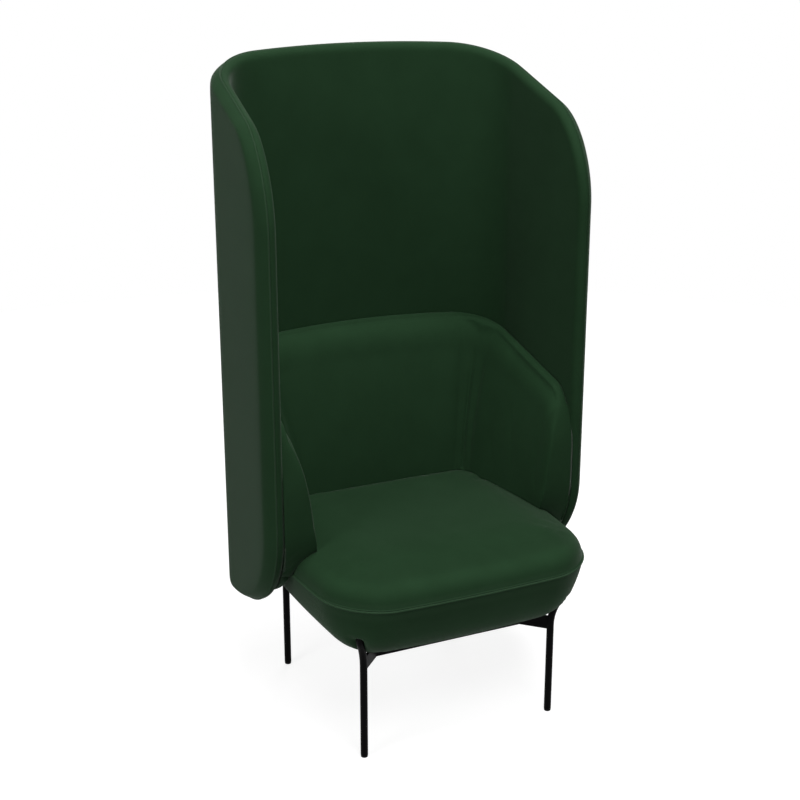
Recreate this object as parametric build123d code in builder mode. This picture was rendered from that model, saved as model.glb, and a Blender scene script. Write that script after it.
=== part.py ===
from build123d import *
import os
from math import asin, cos, radians, sin, sqrt, tan

# High back lounge chair with an acoustic screen: a rounded seat cushion, a padded back and
# arms in one piece, a tall U-shaped upholstered screen around them and a slim frame on four
# legs. Millimetres, +Z up, the chair looks along -Y. The origin is on the floor, at the
# middle of the chair's overall width and depth.

# ---- overall sizes -------------------------------------------------------------------
overall_width = 766
overall_depth = 673
overall_height = 1429

# ---- legs and frame ------------------------------------------------------------------
leg_diameter = 16
leg_spacing = 450           # between leg centres, the same across and from front to rear
leg_front_y = -240.5        # front leg centres
glide_height = 5
glide_diameter = 15
glide_stem_height = 14
glide_stem_gap = 0.1
leg_wall = 2
bend_start = 213            # height at which the leg begins to lean outwards
bend_radius = 120
return_radius = 30
bend_angle = 30
pad_size = 40
pad_thickness = 4
pad_shift = 8               # towards the middle of the chair, along the diagonal
pad_corner_radius = 4
pad_screw_spacing = 26
rail_height = 30
rail_thickness = 6
rail_inset = 50             # from the leg centres to the rail ring, both ways
rail_bottom = 203.5
gusset_thickness = 6

# ---- seat cushion --------------------------------------------------------------------
seam_height = 374
seat_crown = 446
seat_bottom = rail_bottom + rail_height + 0.8
seat_front_half = 293       # half width where the side line meets the front line
seat_mid_half = 318
seat_rear_half = 313
seat_front_corner_y = -325.4
seat_front_bow = 9.9
seat_rear_y = 173.5
seat_corner_radius = 132
seat_rear_radius = 30
welt_diameter = 5
cover_thickness = 2.5
seat_board_height = 330
board_thickness = 15
seat_board_inset = 16
layer_gap = 0.3             # round what a soft layer encloses
foam_gap = 0.6              # between a cover and its padding
welt_stand = 0.2            # of the welt's centre line outside the seam line
corner_share = 0.85         # how fast the front corners tighten as the sides draw in
upper_rear_share = 0.06     # how much of the drawing in reaches the rear of the seat
lower_rear_share = 0.1

# ---- back and arms in one padded piece --------------------------------------------------
back_clearance = 0.8        # to the screen behind it and to the seat below it
arm_front_y = -111
back_ridge = 812            # top of the padding at the rear
back_ridge_y = 256
ridge_slope = 0.32
back_bottom = 256
back_edge_radius = 22
shell_thickness = 10
shell_offset = 7            # from the padded piece's outer face to the shell
shell_edge_inset = 26
shell_side_bottom = 420     # lower edge of the shell beside the seat
base_front_y = 182          # front edge of the board under the back
arm_corner_run = 61
arm_corner_drop = 135
arm_low_run = 330
arm_low_rise = 238

# ---- screen -----------------------------------------------------------------------------
screen_thickness = 40
wing_front_y = -115         # foremost line of both wings
wing_splay = 3.0            # degrees, the wings open towards the front
screen_corner_radius = 140  # of the middle surface
rear_bow_radius = 1520      # of the middle surface
top_slope = 0.36            # fall of the top edge for each millimetre towards the front
top_corner_run = 145
top_corner_drop = 181
screen_bottom = 234.5
bottom_corner_run = 342
bottom_corner_rise = 259.5
screen_edge_radius = 18     # towards the inside
screen_edge_band = 20       # of the slanted band towards the outside, both ways
screen_arris_radius = 16
core_thickness = 9
core_inset = 14
seam_offset = -2            # the covers meet this far inside the middle surface

# ---- fastenings -------------------------------------------------------------------------
screw_head = 8
screw_head_height = 2.5
screw_shank = 4
screw_length = 12
bolt_head = 14
bolt_head_height = 4
bolt_shank = 8
nut_diameter = 18
nut_thickness = 3
hole_clearance = 0.3
seat_gap = 0.1              # between a bolt's head or nut and the face it is drawn against
bolt_end = 1                # of the bolt past its nut
bolt_x = 120
bolt_low = 430
bolt_high = 640
side_bolt_y = 20
side_bolt_height = 560
plate_x = 150
plate_width = 50
plate_thickness = 3
plate_front_y = 120
plate_rear_y = 232
plate_screw_inset = 12      # from the plate's ends and sides

# ---- derived ----------------------------------------------------------------------------
rear_y = overall_depth / 2
front_y = -rear_y
half_screen = screen_thickness / 2
splay = radians(wing_splay)
half_front = overall_width / 2 - half_screen / cos(splay)
rear_mid_y = rear_y - half_screen
leg_x = leg_spacing / 2
leg_rear_y = leg_front_y + leg_spacing
rail_x = leg_x - rail_inset
rail_front_y = leg_front_y + rail_inset
rail_rear_y = leg_rear_y - rail_inset
leg_top = seat_board_height - pad_thickness
slope_cos = 1 / sqrt(1 + top_slope ** 2)
leg_shift = (bend_radius + return_radius) * (1 - cos(radians(bend_angle)))
board_top = seat_board_height + board_thickness
shell_outer = -half_screen - back_clearance - shell_offset      # from the middle surface
shell_inner = shell_outer - shell_thickness
soft_inset = cover_thickness + foam_gap
welt_half = welt_diameter / 2 + layer_gap       # half of the room that the welt takes
sides = (("left", -1), ("right", 1))
ends = (("front", -1, leg_front_y), ("rear", 1, leg_rear_y))

os.makedirs("parts", exist_ok=True)


def block(x, y, z):
    """Rectangular body between two values along each axis."""
    with BuildPart() as body:
        with Locations(((x[0] + x[1]) / 2, (y[0] + y[1]) / 2, (z[0] + z[1]) / 2)):
            Box(x[1] - x[0], y[1] - y[0], z[1] - z[0])
    return body.part


def rounded_corner(start, corner, end):
    """Quarter of an ellipse from start to end, inside the corner."""
    full = 0.5523
    Bezier(
        start,
        tuple(s + full * (c - s) for s, c in zip(start, corner)),
        tuple(e + full * (c - e) for e, c in zip(end, corner)),
        end,
    )


# ---- screen forms -----------------------------------------------------------------------
def wing_x(offset, y):
    """Half width of the screen's plan, offset outwards from the middle surface."""
    return half_front + offset / cos(splay) - (y - wing_front_y) * tan(splay)


def inside_screen(offset, bottom, top, front=wing_front_y - 60):
    """The space inside the screen's plan line moved outwards by offset, closed at the front."""
    centre_y = rear_mid_y - rear_bow_radius
    radius = rear_bow_radius + offset
    x0, y0 = wing_x(offset, wing_front_y), wing_front_y
    b = -x0 * sin(splay) + (y0 - centre_y) * cos(splay)
    c = x0 ** 2 + (y0 - centre_y) ** 2 - radius ** 2
    s = -b + sqrt(b * b - c)
    corner = (x0 - s * sin(splay), y0 + s * cos(splay))
    front_x = wing_x(offset, front)
    with BuildPart() as body:
        with BuildSketch(Plane.XY.offset(bottom)) as plan:
            with BuildLine():
                Polyline((-corner[0], corner[1]), (-front_x, front), (front_x, front), corner)
                ThreePointArc(corner, (0, rear_mid_y + offset), (-corner[0], corner[1]))
            make_face()
            fillet(plan.vertices().group_by(Axis.Y)[-1], screen_corner_radius + offset)
        extrude(amount=top - bottom)
    return body.part


def screen_side(inset):
    """The screen seen from the side, drawn in by inset, as a bar across the whole width."""
    front = wing_front_y + inset
    low = screen_bottom + inset
    far = rear_y + 60

    def top(y):
        return overall_height - top_slope * (rear_mid_y - y) - inset / slope_cos

    run = top_corner_run - inset
    drop = top_corner_drop - inset
    low_run = bottom_corner_run - inset
    low_rise = bottom_corner_rise - inset
    with BuildPart() as bar:
        with BuildSketch(Plane.YZ):
            with BuildLine():
                Line((front + run, top(front + run)), (far, top(far)))
                Line((far, top(far)), (far, low))
                Line((far, low), (front + low_run, low))
                rounded_corner((front + low_run, low), (front, low), (front, low + low_rise))
                Line((front, low + low_rise), (front, top(front) - drop))
                rounded_corner(
                    (front, top(front) - drop), (front, top(front)), (front + run, top(front + run))
                )
            make_face()
        extrude(amount=overall_width, both=True)
    return bar.part


def screen_form(inset):
    """The whole screen, drawn in by inset on every side.

    Its edge is rounded towards the inside. Towards the outside it is a slanted band that meets
    the outer face in a soft arris.
    """
    top = overall_height + 100
    outer = inside_screen(half_screen - inset, 0, top)
    inner = inside_screen(inset - half_screen, 0, top, wing_front_y - 90)
    side = screen_side(inset)

    def edges_on(form, wall):
        """Edges of the form on the upright faces of a wall, without its upright joints."""
        faces = wall.faces().filter_by(lambda face: abs(face.normal_at().Z) < 0.1)
        behind = wing_front_y + inset + screen_edge_band + 5
        joints = form.edges().filter_by(Axis.Z).filter_by(lambda edge: edge.center().Y > behind)

        def near(edge):
            points = [Vertex(*(edge @ share)) for share in (0.2, 0.5, 0.8)]
            return all(min(face.distance_to(point) for face in faces) < 0.01 for point in points)

        return (form.edges() - joints).filter_by(near)

    with BuildPart() as form:
        add(outer)
        add(inner, mode=Mode.SUBTRACT)
        add(side, mode=Mode.INTERSECT)
        chamfer(edges_on(form, outer), screen_edge_band - (2 - sqrt(2)) * inset)
        fillet(edges_on(form, outer), screen_arris_radius - inset)
        fillet(edges_on(form, inner), screen_edge_radius - inset)
    return form.part


# ---- seat forms --------------------------------------------------------------------------
def seat_plan(height, inset, rear_share, skin=0):
    """Seat outline drawn in by inset at the front and sides and by a share of it at the rear.

    It is then drawn in by skin all round.
    """
    front_half = seat_front_half - inset - skin
    mid_half = seat_mid_half - inset - skin
    rear_half = seat_rear_half - inset - skin
    y_front = seat_front_corner_y + inset + skin
    y_rear = seat_rear_y - rear_share * inset - skin
    y_mid = (seat_front_corner_y + seat_rear_y) / 2
    front_corner = max(seat_corner_radius - corner_share * inset - skin, 20)
    rear_corner = max(seat_rear_radius - 0.1 * inset - skin, 10)
    with BuildSketch(Plane.XY.offset(height)) as plan:
        with BuildLine():
            ThreePointArc(
                (-front_half, y_front), (0, y_front - seat_front_bow), (front_half, y_front)
            )
            ThreePointArc((front_half, y_front), (mid_half, y_mid), (rear_half, y_rear))
            Line((rear_half, y_rear), (-rear_half, y_rear))
            ThreePointArc((-rear_half, y_rear), (-mid_half, y_mid), (-front_half, y_front))
        make_face()
        fillet(plan.vertices().group_by(Axis.Y)[0], front_corner)
        fillet(plan.vertices().group_by(Axis.Y)[-1], rear_corner)
    return plan.sketch


def seat_loft(steps, rear_share, skin=0):
    """Half of the cushion lofted through steps of (height, inset), drawn in by skin all round."""
    span = steps[-1][0] - steps[0][0]
    plans = []
    for height, inset in steps:
        lift = skin * (height - steps[0][0]) / span
        if span > 0:
            lift = -lift
        plans.append(seat_plan(height + lift, inset, rear_share, skin))
    # nothing of the lofted surface swells past its last plan
    last = steps[-1][0] + lift
    beyond = (last, last + 100) if span > 0 else (last - 100, last)
    with BuildPart() as body:
        for plan in plans:
            add(plan)
        loft()
        add(block((-500, 500), (-500, 500), beyond), mode=Mode.SUBTRACT)
    return body.part


upper_steps = (
    (seam_height, 0),
    (seam_height + 24, 8),
    (seam_height + 46, 27),
    (seam_height + 60, 62),
    (seat_crown - 2, 118),
    (seat_crown, 150),
)
lower_steps = (
    (seam_height, 0),
    (seam_height - 44, 9),
    (seam_height - 74, 19),
    (seam_height - 99, 37),
    (seam_height - 119, 68),
    (seat_bottom + 6, 112),
    (seat_bottom, 150),
)


# ---- back and arms forms -------------------------------------------------------------------
recess_steps = (
    # height, back line, corner, middle and front of the arm, corner radius (it keeps step with
    # the screen's corner)
    (436, 174, (174, 153), (217, -17), (288, -140), screen_corner_radius - 100),
    (600, 209, (228, 190), (260, 21), (299, -140), screen_corner_radius - 85),
    (840, 277, (317, 255), (352, 21), (350, -140), screen_corner_radius - 60),
)


def recess_plan(height, back, corner, middle, front, radius, grow=0):
    """Plan of the sitting space between the arms at one height, made larger by grow."""
    cx, cy = corner[0] + grow, corner[1] + grow
    mx, my = middle[0] + grow, middle[1]
    fx, fy = front[0] + grow, front[1]
    outside = (fx + 40, fy - 120)
    with BuildSketch(Plane.XY.offset(height)) as plan:
        with BuildLine():
            ThreePointArc((cx, cy), (0, back + grow), (-cx, cy))
            ThreePointArc((-cx, cy), (-mx, my), (-fx, fy))
            Polyline((-fx, fy), (-outside[0], outside[1]), outside, (fx, fy))
            ThreePointArc((fx, fy), (mx, my), (cx, cy))
        make_face()
        fillet(plan.vertices().group_by(Axis.Y)[-1], radius)
    return plan.sketch


def recess(grow=0):
    """The sitting space: it opens upwards, and runs straight down from its lowest plan."""
    plans = [recess_plan(*step, grow) for step in recess_steps]
    with BuildPart() as space:
        for plan in plans:
            add(plan)
        loft()
        add(plans[0])
        extrude(amount=-recess_steps[0][0] + back_bottom - 40)
    return space.part


def back_outline(inset):
    """The padded back and arms seen from the side, drawn in by inset."""
    front = arm_front_y + inset
    low = back_bottom + inset
    far = rear_y + 60
    lean = sqrt(1 + ridge_slope ** 2)

    def top(y):
        return back_ridge - ridge_slope * (back_ridge_y - y) - inset * lean

    # both corners shorten alike where the arm's front is too low for them
    share = min(1, 0.9 * (top(front) - low) / (arm_corner_drop + arm_low_rise - 2 * inset))
    run = arm_corner_run - inset
    drop = share * (arm_corner_drop - inset)
    low_run = arm_low_run - inset
    low_rise = share * (arm_low_rise - inset)
    with BuildSketch(Plane.YZ) as outline:
        with BuildLine():
            Line((front + run, top(front + run)), (far, top(far)))
            Line((far, top(far)), (far, low))
            Line((far, low), (front + low_run, low))
            rounded_corner((front + low_run, low), (front, low), (front, low + low_rise))
            Line((front, low + low_rise), (front, top(front) - drop))
            rounded_corner(
                (front, top(front) - drop), (front, top(front)), (front + run, top(front + run))
            )
        make_face()
    return outline.sketch


def back_form(inset, edge_radius=0):
    """The padded back and arms as one body, drawn in by inset, its inner rim rounded."""
    block = inside_screen(-half_screen - back_clearance - inset, 100, overall_height)
    space = recess(inset)
    seat_top = seat_loft(upper_steps, upper_rear_share, -back_clearance - inset)
    seat_line = seat_plan(seam_height, 0, lower_rear_share, -back_clearance - inset)
    outline = back_outline(inset)
    with BuildPart() as bar:
        extrude(outline, amount=overall_width, both=True)
    rim = outline.wire()

    def on_rim(edge):
        points = [edge @ 0, edge @ 0.5, edge @ 1]
        across = abs(points[2].X - points[0].X) > 0.9 * edge.length
        if across and abs(points[1].X) > 5 or points[1].Z < recess_steps[0][0] + 5:
            return False
        if space.distance_to(Vertex(*points[1])) > 0.05:
            return False
        return all(rim.distance_to(Vertex(0, p.Y, p.Z)) < 0.05 for p in points)

    with BuildPart() as form:
        add(block)
        add(bar.part, mode=Mode.INTERSECT)
        add(space, mode=Mode.SUBTRACT)
        add(seat_top, mode=Mode.SUBTRACT)
        add(seat_line)
        extrude(amount=100 - seam_height, mode=Mode.SUBTRACT)
        if edge_radius:
            fillet(form.edges().filter_by(on_rim), edge_radius)
    return form.part


# ---- metalwork: legs, glides, rails, gussets, pads and plates -------------------------------
def leg_plane(across, along, y):
    """Upright plane through a leg, its first axis leading diagonally outwards."""
    return Plane(origin=(across * leg_x, y, 0), x_dir=(across, along, 0), z_dir=(along, -across, 0))


def leg_body(plane, radius, bore=0):
    """Round bar or tube along a leg: upright, leaning outwards, and upright again at the top."""
    with BuildPart() as body:
        with BuildLine(plane) as path:
            foot = Line((0, glide_height), (0, bend_start))
            lean = JernArc(foot @ 1, foot % 1, bend_radius, -bend_angle)
            turn = JernArc(lean @ 1, lean % 1, return_radius, bend_angle)
            Line(turn @ 1, (leg_shift, leg_top))
        with BuildSketch(Plane(foot @ 0, z_dir=foot % 0)):
            Circle(radius)
            if bore:
                Circle(bore, mode=Mode.SUBTRACT)
        sweep(path=path.wires()[0])
    return body.part


def pad_plane(across, along, y):
    """Level plane at the top of a leg, its first axis leading diagonally outwards."""
    middle = leg_plane(across, along, y).from_local_coords((leg_shift - pad_shift, leg_top))
    return Plane(origin=middle, x_dir=(across, along, 0), z_dir=(0, 0, 1))


def pad_body(plane, grow=0):
    """Square plate with rounded corners, grown all round."""
    size = pad_size + 2 * grow
    with BuildPart() as body:
        with BuildSketch(plane.offset(-grow)):
            RectangleRounded(size, size, pad_corner_radius + grow)
        extrude(amount=pad_thickness + grow)
    return body.part


def plate_body(across, grow=0):
    """Flat steel plate that joins the two boards, grown all round."""
    with BuildPart() as body:
        with BuildSketch(Plane.XY.offset(seat_board_height - plate_thickness - grow)):
            with Locations((across * plate_x, (plate_front_y + plate_rear_y) / 2)):
                Rectangle(plate_width + 2 * grow, plate_rear_y - plate_front_y + 2 * grow)
        extrude(amount=plate_thickness + grow)
    return body.part


def four_screws(plane, reach_x, reach_y, grow=0):
    """Four screws pointing up, their heads under the plane, at the corners of a rectangle."""
    with BuildPart() as screws:
        with BuildSketch(plane.offset(-screw_head_height - grow)):
            with GridLocations(reach_x, reach_y, 2, 2):
                Circle(screw_head / 2 + grow)
        extrude(amount=screw_head_height + grow)
        with BuildSketch(plane):
            with GridLocations(reach_x, reach_y, 2, 2):
                Circle(screw_shank / 2 + grow)
        extrude(amount=screw_length + grow)
    return screws.part


def all_screws(grow=0):
    """Every screw that holds a pad or a plate to a board."""
    with BuildPart() as screws:
        for side, across in sides:
            for end, along, y in ends:
                add(four_screws(pad_plane(across, along, y), pad_screw_spacing, pad_screw_spacing, grow))
            middle = (across * plate_x, (plate_front_y + plate_rear_y) / 2)
            plane = Plane.XY.offset(seat_board_height - plate_thickness).move(Location(middle))
            reach_x = plate_width - 2 * plate_screw_inset
            reach_y = plate_rear_y - plate_front_y - 2 * plate_screw_inset
            add(four_screws(plane, reach_x, reach_y, grow))
    return screws.part


screws_exact = all_screws()
screws_loose = all_screws(hole_clearance)

for side, across in sides:
    for end, along, y in ends:
        plane = leg_plane(across, along, y)
        core = leg_body(plane, leg_diameter / 2)

        with BuildPart() as leg:
            add(leg_body(plane, leg_diameter / 2, leg_diameter / 2 - leg_wall))
        leg.part.label = f"leg_{end}_{side}"
        export_step(leg.part, f"parts/leg_{end}_{side}.step")

        with BuildPart() as glide:
            with BuildSketch(Plane(origin=plane.origin, z_dir=(0, 0, 1))):
                Circle(glide_diameter / 2)
            extrude(amount=glide_height)
            chamfer(glide.edges().group_by(Axis.Z)[0], 1)
            with BuildSketch(Plane(origin=plane.origin, z_dir=(0, 0, 1)).offset(glide_height)):
                Circle(leg_diameter / 2 - leg_wall - glide_stem_gap)
            extrude(amount=glide_stem_height)
            chamfer(glide.edges().group_by(Axis.Z)[-1], 1)
        glide.part.label = f"glide_{end}_{side}"
        export_step(glide.part, f"parts/glide_{end}_{side}.step")

        with BuildPart() as pad:
            add(pad_body(pad_plane(across, along, y)))
            add(screws_loose, mode=Mode.SUBTRACT)
        pad.part.label = f"leg_pad_{end}_{side}"
        export_step(pad.part, f"parts/leg_pad_{end}_{side}.step")

        with BuildPart() as gusset:
            with BuildSketch(Plane(origin=(plane.origin.X, y, rail_bottom), x_dir=(across, along, 0))):
                with Locations((-rail_inset * sqrt(2) / 2, 0)):
                    Rectangle(rail_inset * sqrt(2) + leg_diameter, gusset_thickness)
            extrude(amount=rail_height)
            add(core, mode=Mode.SUBTRACT)
            add(
                block(
                    (-rail_x - rail_thickness / 2, rail_x + rail_thickness / 2),
                    (rail_front_y - rail_thickness / 2, rail_rear_y + rail_thickness / 2),
                    (rail_bottom, rail_bottom + rail_height),
                ),
                mode=Mode.SUBTRACT,
            )
            # the stub left beyond the leg goes
            beyond = Plane(origin=(plane.origin.X, y, rail_bottom), x_dir=(across, along, 0))
            with BuildSketch(beyond):
                with Locations((leg_diameter, 0)):
                    Rectangle(2 * leg_diameter, leg_diameter)
            extrude(amount=rail_height, mode=Mode.SUBTRACT)
        gusset.part.label = f"gusset_{end}_{side}"
        export_step(gusset.part, f"parts/gusset_{end}_{side}.step")

    with BuildPart() as rail:
        add(
            block(
                (across * rail_x - rail_thickness / 2, across * rail_x + rail_thickness / 2),
                (rail_front_y + rail_thickness / 2, rail_rear_y - rail_thickness / 2),
                (rail_bottom, rail_bottom + rail_height),
            )
        )
    rail.part.label = f"rail_{side}"
    export_step(rail.part, f"parts/rail_{side}.step")

    with BuildPart() as plate:
        add(plate_body(across))
        add(screws_loose, mode=Mode.SUBTRACT)
    plate.part.label = f"join_plate_{side}"
    export_step(plate.part, f"parts/join_plate_{side}.step")

for end, y in (("front", rail_front_y), ("rear", rail_rear_y)):
    with BuildPart() as rail:
        add(
            block(
                (-rail_x - rail_thickness / 2, rail_x + rail_thickness / 2),
                (y - rail_thickness / 2, y + rail_thickness / 2),
                (rail_bottom, rail_bottom + rail_height),
            )
        )
    rail.part.label = f"rail_{end}"
    export_step(rail.part, f"parts/rail_{end}.step")

with BuildPart() as board_screws:
    add(screws_exact)
board_screws.part.label = "board_screws"
export_step(board_screws.part, "parts/board_screws.step")

# room that the soft layers leave for the metalwork
with BuildPart() as metal_room:
    add(screws_loose)
    for side, across in sides:
        add(plate_body(across, layer_gap))
        for end, along, y in ends:
            add(leg_body(leg_plane(across, along, y), leg_diameter / 2 + layer_gap))
            add(pad_body(pad_plane(across, along, y), layer_gap))


# ---- bolts and nuts between the back's shell and the screen's core -------------------------
def bolt_planes():
    """Planes on the middle surface where the bolts stand, facing outwards."""
    turn = asin(bolt_x / rear_bow_radius)
    y = rear_mid_y - rear_bow_radius * (1 - cos(turn))
    planes = []
    for side, across in sides:
        for height in (bolt_low, bolt_high):
            planes.append(
                Plane(origin=(across * bolt_x, y, height), z_dir=(across * sin(turn), cos(turn), 0))
            )
        planes.append(
            Plane(
                origin=(across * wing_x(0, side_bolt_y), side_bolt_y, side_bolt_height),
                z_dir=(across * cos(splay), sin(splay), 0),
            )
        )
    return planes


def bolts(grow=0):
    """Bolts from inside the shell to just past their nuts, grown all round."""
    head_top = shell_inner - seat_gap + grow
    shank_end = core_thickness / 2 + seat_gap + nut_thickness + bolt_end + grow
    with BuildPart() as all_bolts:
        for plane in bolt_planes():
            with BuildSketch(plane.offset(head_top - bolt_head_height - 2 * grow)):
                Circle(bolt_head / 2 + grow)
            extrude(amount=bolt_head_height + 2 * grow)
            with BuildSketch(plane.offset(head_top)):
                Circle(bolt_shank / 2 + grow)
            extrude(amount=shank_end - head_top)
    return all_bolts.part


def nuts(grow=0):
    """Round nuts against the outer face of the screen's core, grown all round."""
    with BuildPart() as all_nuts:
        for plane in bolt_planes():
            with BuildSketch(plane.offset(core_thickness / 2 + seat_gap - grow)):
                Circle(nut_diameter / 2 + grow)
            extrude(amount=nut_thickness + 2 * grow)
    return all_nuts.part


with BuildPart() as joining_bolts:
    add(bolts())
joining_bolts.part.label = "joining_bolts"
export_step(joining_bolts.part, "parts/joining_bolts.step")

with BuildPart() as joining_nuts:
    add(nuts())
    add(bolts(), mode=Mode.SUBTRACT)
joining_nuts.part.label = "joining_nuts"
export_step(joining_nuts.part, "parts/joining_nuts.step")

with BuildPart() as bolt_room:
    add(bolts(hole_clearance))
    add(nuts(hole_clearance))


# ---- seat ----------------------------------------------------------------------------------
def welt_ring(radius):
    """Round ring along the seam line of the seat."""
    line = seat_plan(seam_height, 0, lower_rear_share, -welt_stand).wire()
    with BuildPart() as ring:
        with BuildSketch(Plane(line @ 0, z_dir=line % 0)):
            Circle(radius)
        sweep(path=line)
    return ring.part


with BuildPart() as welt_room:
    add(seat_plan(seam_height - welt_half, 0, lower_rear_share, -welt_stand - welt_half))
    extrude(amount=2 * welt_half)

welt_slot = block((-500, 500), (-500, 500), (seam_height - welt_half, seam_height + welt_half))

with BuildPart() as seat_board:
    add(seat_plan(seat_board_height, seat_board_inset, 1))
    extrude(amount=board_thickness)
    add(screws_exact, mode=Mode.SUBTRACT)
seat_board.part.label = "seat_board"
export_step(seat_board.part, "parts/seat_board.step")

with BuildPart() as seat_foam:
    add(seat_loft(upper_steps, upper_rear_share, soft_inset))
    add(seat_loft(lower_steps, lower_rear_share, soft_inset))

with BuildPart() as seat_foam_upper:
    add(seat_foam.part)
    add(
        block((-500, 500), (-500, 500), (100, board_top + layer_gap)),
        mode=Mode.SUBTRACT,
    )
seat_foam_upper.part.label = "seat_foam_upper"
export_step(seat_foam_upper.part, "parts/seat_foam_upper.step")

with BuildPart() as seat_foam_lower:
    add(seat_foam.part)
    add(block((-500, 500), (-500, 500), (board_top, 600)), mode=Mode.SUBTRACT)
    add(seat_plan(seat_board_height - layer_gap, seat_board_inset, 1, -layer_gap))
    extrude(amount=board_thickness + 5, mode=Mode.SUBTRACT)
    add(metal_room.part, mode=Mode.SUBTRACT)
seat_foam_lower.part.label = "seat_foam_lower"
export_step(seat_foam_lower.part, "parts/seat_foam_lower.step")

with BuildPart() as seat_cover_upper:
    add(seat_loft(upper_steps, upper_rear_share))
    add(seat_loft(upper_steps, upper_rear_share, cover_thickness), mode=Mode.SUBTRACT)
    add(welt_slot, mode=Mode.SUBTRACT)
seat_cover_upper.part.label = "seat_cover_upper"
export_step(seat_cover_upper.part, "parts/seat_cover_upper.step")

with BuildPart() as seat_cover_lower:
    add(seat_loft(lower_steps, lower_rear_share))
    add(seat_loft(lower_steps, lower_rear_share, cover_thickness), mode=Mode.SUBTRACT)
    add(welt_slot, mode=Mode.SUBTRACT)
    add(metal_room.part, mode=Mode.SUBTRACT)
seat_cover_lower.part.label = "seat_cover_lower"
export_step(seat_cover_lower.part, "parts/seat_cover_lower.step")

with BuildPart() as seat_welt:
    add(welt_ring(welt_diameter / 2))
seat_welt.part.label = "seat_welt"
export_step(seat_welt.part, "parts/seat_welt.step")


# ---- back and arms ---------------------------------------------------------------------------
def base_form(grow=0):
    """Board under the back, behind the seat, grown all round."""
    low = seat_board_height - grow
    high = board_top + grow
    with BuildPart() as form:
        add(inside_screen(shell_outer + grow, low, high))
        add(block((-500, 500), (-500, base_front_y - grow), (low, high)), mode=Mode.SUBTRACT)
    return form.part


def shell_form(grow=0):
    """U-shaped panel on the board under the back, grown all round."""
    outline = back_outline(shell_edge_inset - grow)
    with BuildPart() as bar:
        extrude(outline, amount=overall_width, both=True)
    with BuildPart() as form:
        add(inside_screen(shell_outer + grow, board_top, overall_height))
        add(
            inside_screen(shell_inner - grow, board_top, overall_height, wing_front_y - 90),
            mode=Mode.SUBTRACT,
        )
        add(bar.part, mode=Mode.INTERSECT)
        add(
            block((-500, 500), (-500, base_front_y - grow), (0, shell_side_bottom - grow)),
            mode=Mode.SUBTRACT,
        )
    return form.part


with BuildPart() as back_base_board:
    add(base_form())
    add(screws_exact, mode=Mode.SUBTRACT)
back_base_board.part.label = "back_base_board"
export_step(back_base_board.part, "parts/back_base_board.step")

with BuildPart() as back_shell:
    add(shell_form())
    add(bolts(hole_clearance), mode=Mode.SUBTRACT)
back_shell.part.label = "back_shell"
export_step(back_shell.part, "parts/back_shell.step")

with BuildPart() as back_foam:
    add(back_form(soft_inset, back_edge_radius - soft_inset))
    add(base_form(layer_gap), mode=Mode.SUBTRACT)
    add(shell_form(layer_gap), mode=Mode.SUBTRACT)
    add(metal_room.part, mode=Mode.SUBTRACT)
    add(bolt_room.part, mode=Mode.SUBTRACT)
    add(welt_room.part, mode=Mode.SUBTRACT)
back_foam.part.label = "back_foam"
export_step(back_foam.part, "parts/back_foam.step")

with BuildPart() as back_cover:
    add(back_form(0, back_edge_radius))
    add(back_form(cover_thickness, back_edge_radius - cover_thickness), mode=Mode.SUBTRACT)
    add(metal_room.part, mode=Mode.SUBTRACT)
    add(bolt_room.part, mode=Mode.SUBTRACT)
    add(welt_room.part, mode=Mode.SUBTRACT)
back_cover.part.label = "back_cover"
export_step(back_cover.part, "parts/back_cover.step")

# ---- screen ----------------------------------------------------------------------------------
half_core = core_thickness / 2
with BuildPart() as screen_core:
    add(inside_screen(half_core, 0, overall_height))
    add(
        inside_screen(-half_core, 0, overall_height, wing_front_y - 90),
        mode=Mode.SUBTRACT,
    )
    add(screen_side(core_inset), mode=Mode.INTERSECT)
    add(bolts(hole_clearance), mode=Mode.SUBTRACT)
screen_core.part.label = "screen_core"
export_step(screen_core.part, "parts/screen_core.step")

with BuildPart() as core_room:
    add(inside_screen(half_core + layer_gap, 0, overall_height))
    add(
        inside_screen(-half_core - layer_gap, 0, overall_height, wing_front_y - 90),
        mode=Mode.SUBTRACT,
    )
    add(screen_side(core_inset - layer_gap), mode=Mode.INTERSECT)

padding = screen_form(soft_inset)
with BuildPart() as screen_foam_outer:
    add(padding)
    add(inside_screen(layer_gap / 2, 0, 2000), mode=Mode.SUBTRACT)
    add(core_room.part, mode=Mode.SUBTRACT)
    add(bolt_room.part, mode=Mode.SUBTRACT)
screen_foam_outer.part.label = "screen_foam_outer"
export_step(screen_foam_outer.part, "parts/screen_foam_outer.step")

with BuildPart() as screen_foam_inner:
    add(padding)
    add(inside_screen(-layer_gap / 2, 0, 2000), mode=Mode.INTERSECT)
    add(core_room.part, mode=Mode.SUBTRACT)
    add(bolt_room.part, mode=Mode.SUBTRACT)
screen_foam_inner.part.label = "screen_foam_inner"
export_step(screen_foam_inner.part, "parts/screen_foam_inner.step")

with BuildPart() as screen_skin:
    add(screen_form(0))
    add(screen_form(cover_thickness), mode=Mode.SUBTRACT)

with BuildPart() as screen_cover_outer:
    add(screen_skin.part)
    add(inside_screen(seam_offset, 0, 2000), mode=Mode.SUBTRACT)
screen_cover_outer.part.label = "screen_cover_outer"
export_step(screen_cover_outer.part, "parts/screen_cover_outer.step")

with BuildPart() as screen_cover_inner:
    add(screen_skin.part)
    add(inside_screen(seam_offset, 0, 2000), mode=Mode.INTERSECT)
    add(bolt_room.part, mode=Mode.SUBTRACT)
screen_cover_inner.part.label = "screen_cover_inner"
export_step(screen_cover_inner.part, "parts/screen_cover_inner.step")
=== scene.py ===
import math

import bmesh
import bpy
import numpy as np
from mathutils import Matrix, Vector
from mathutils.bvhtree import BVHTree


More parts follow.
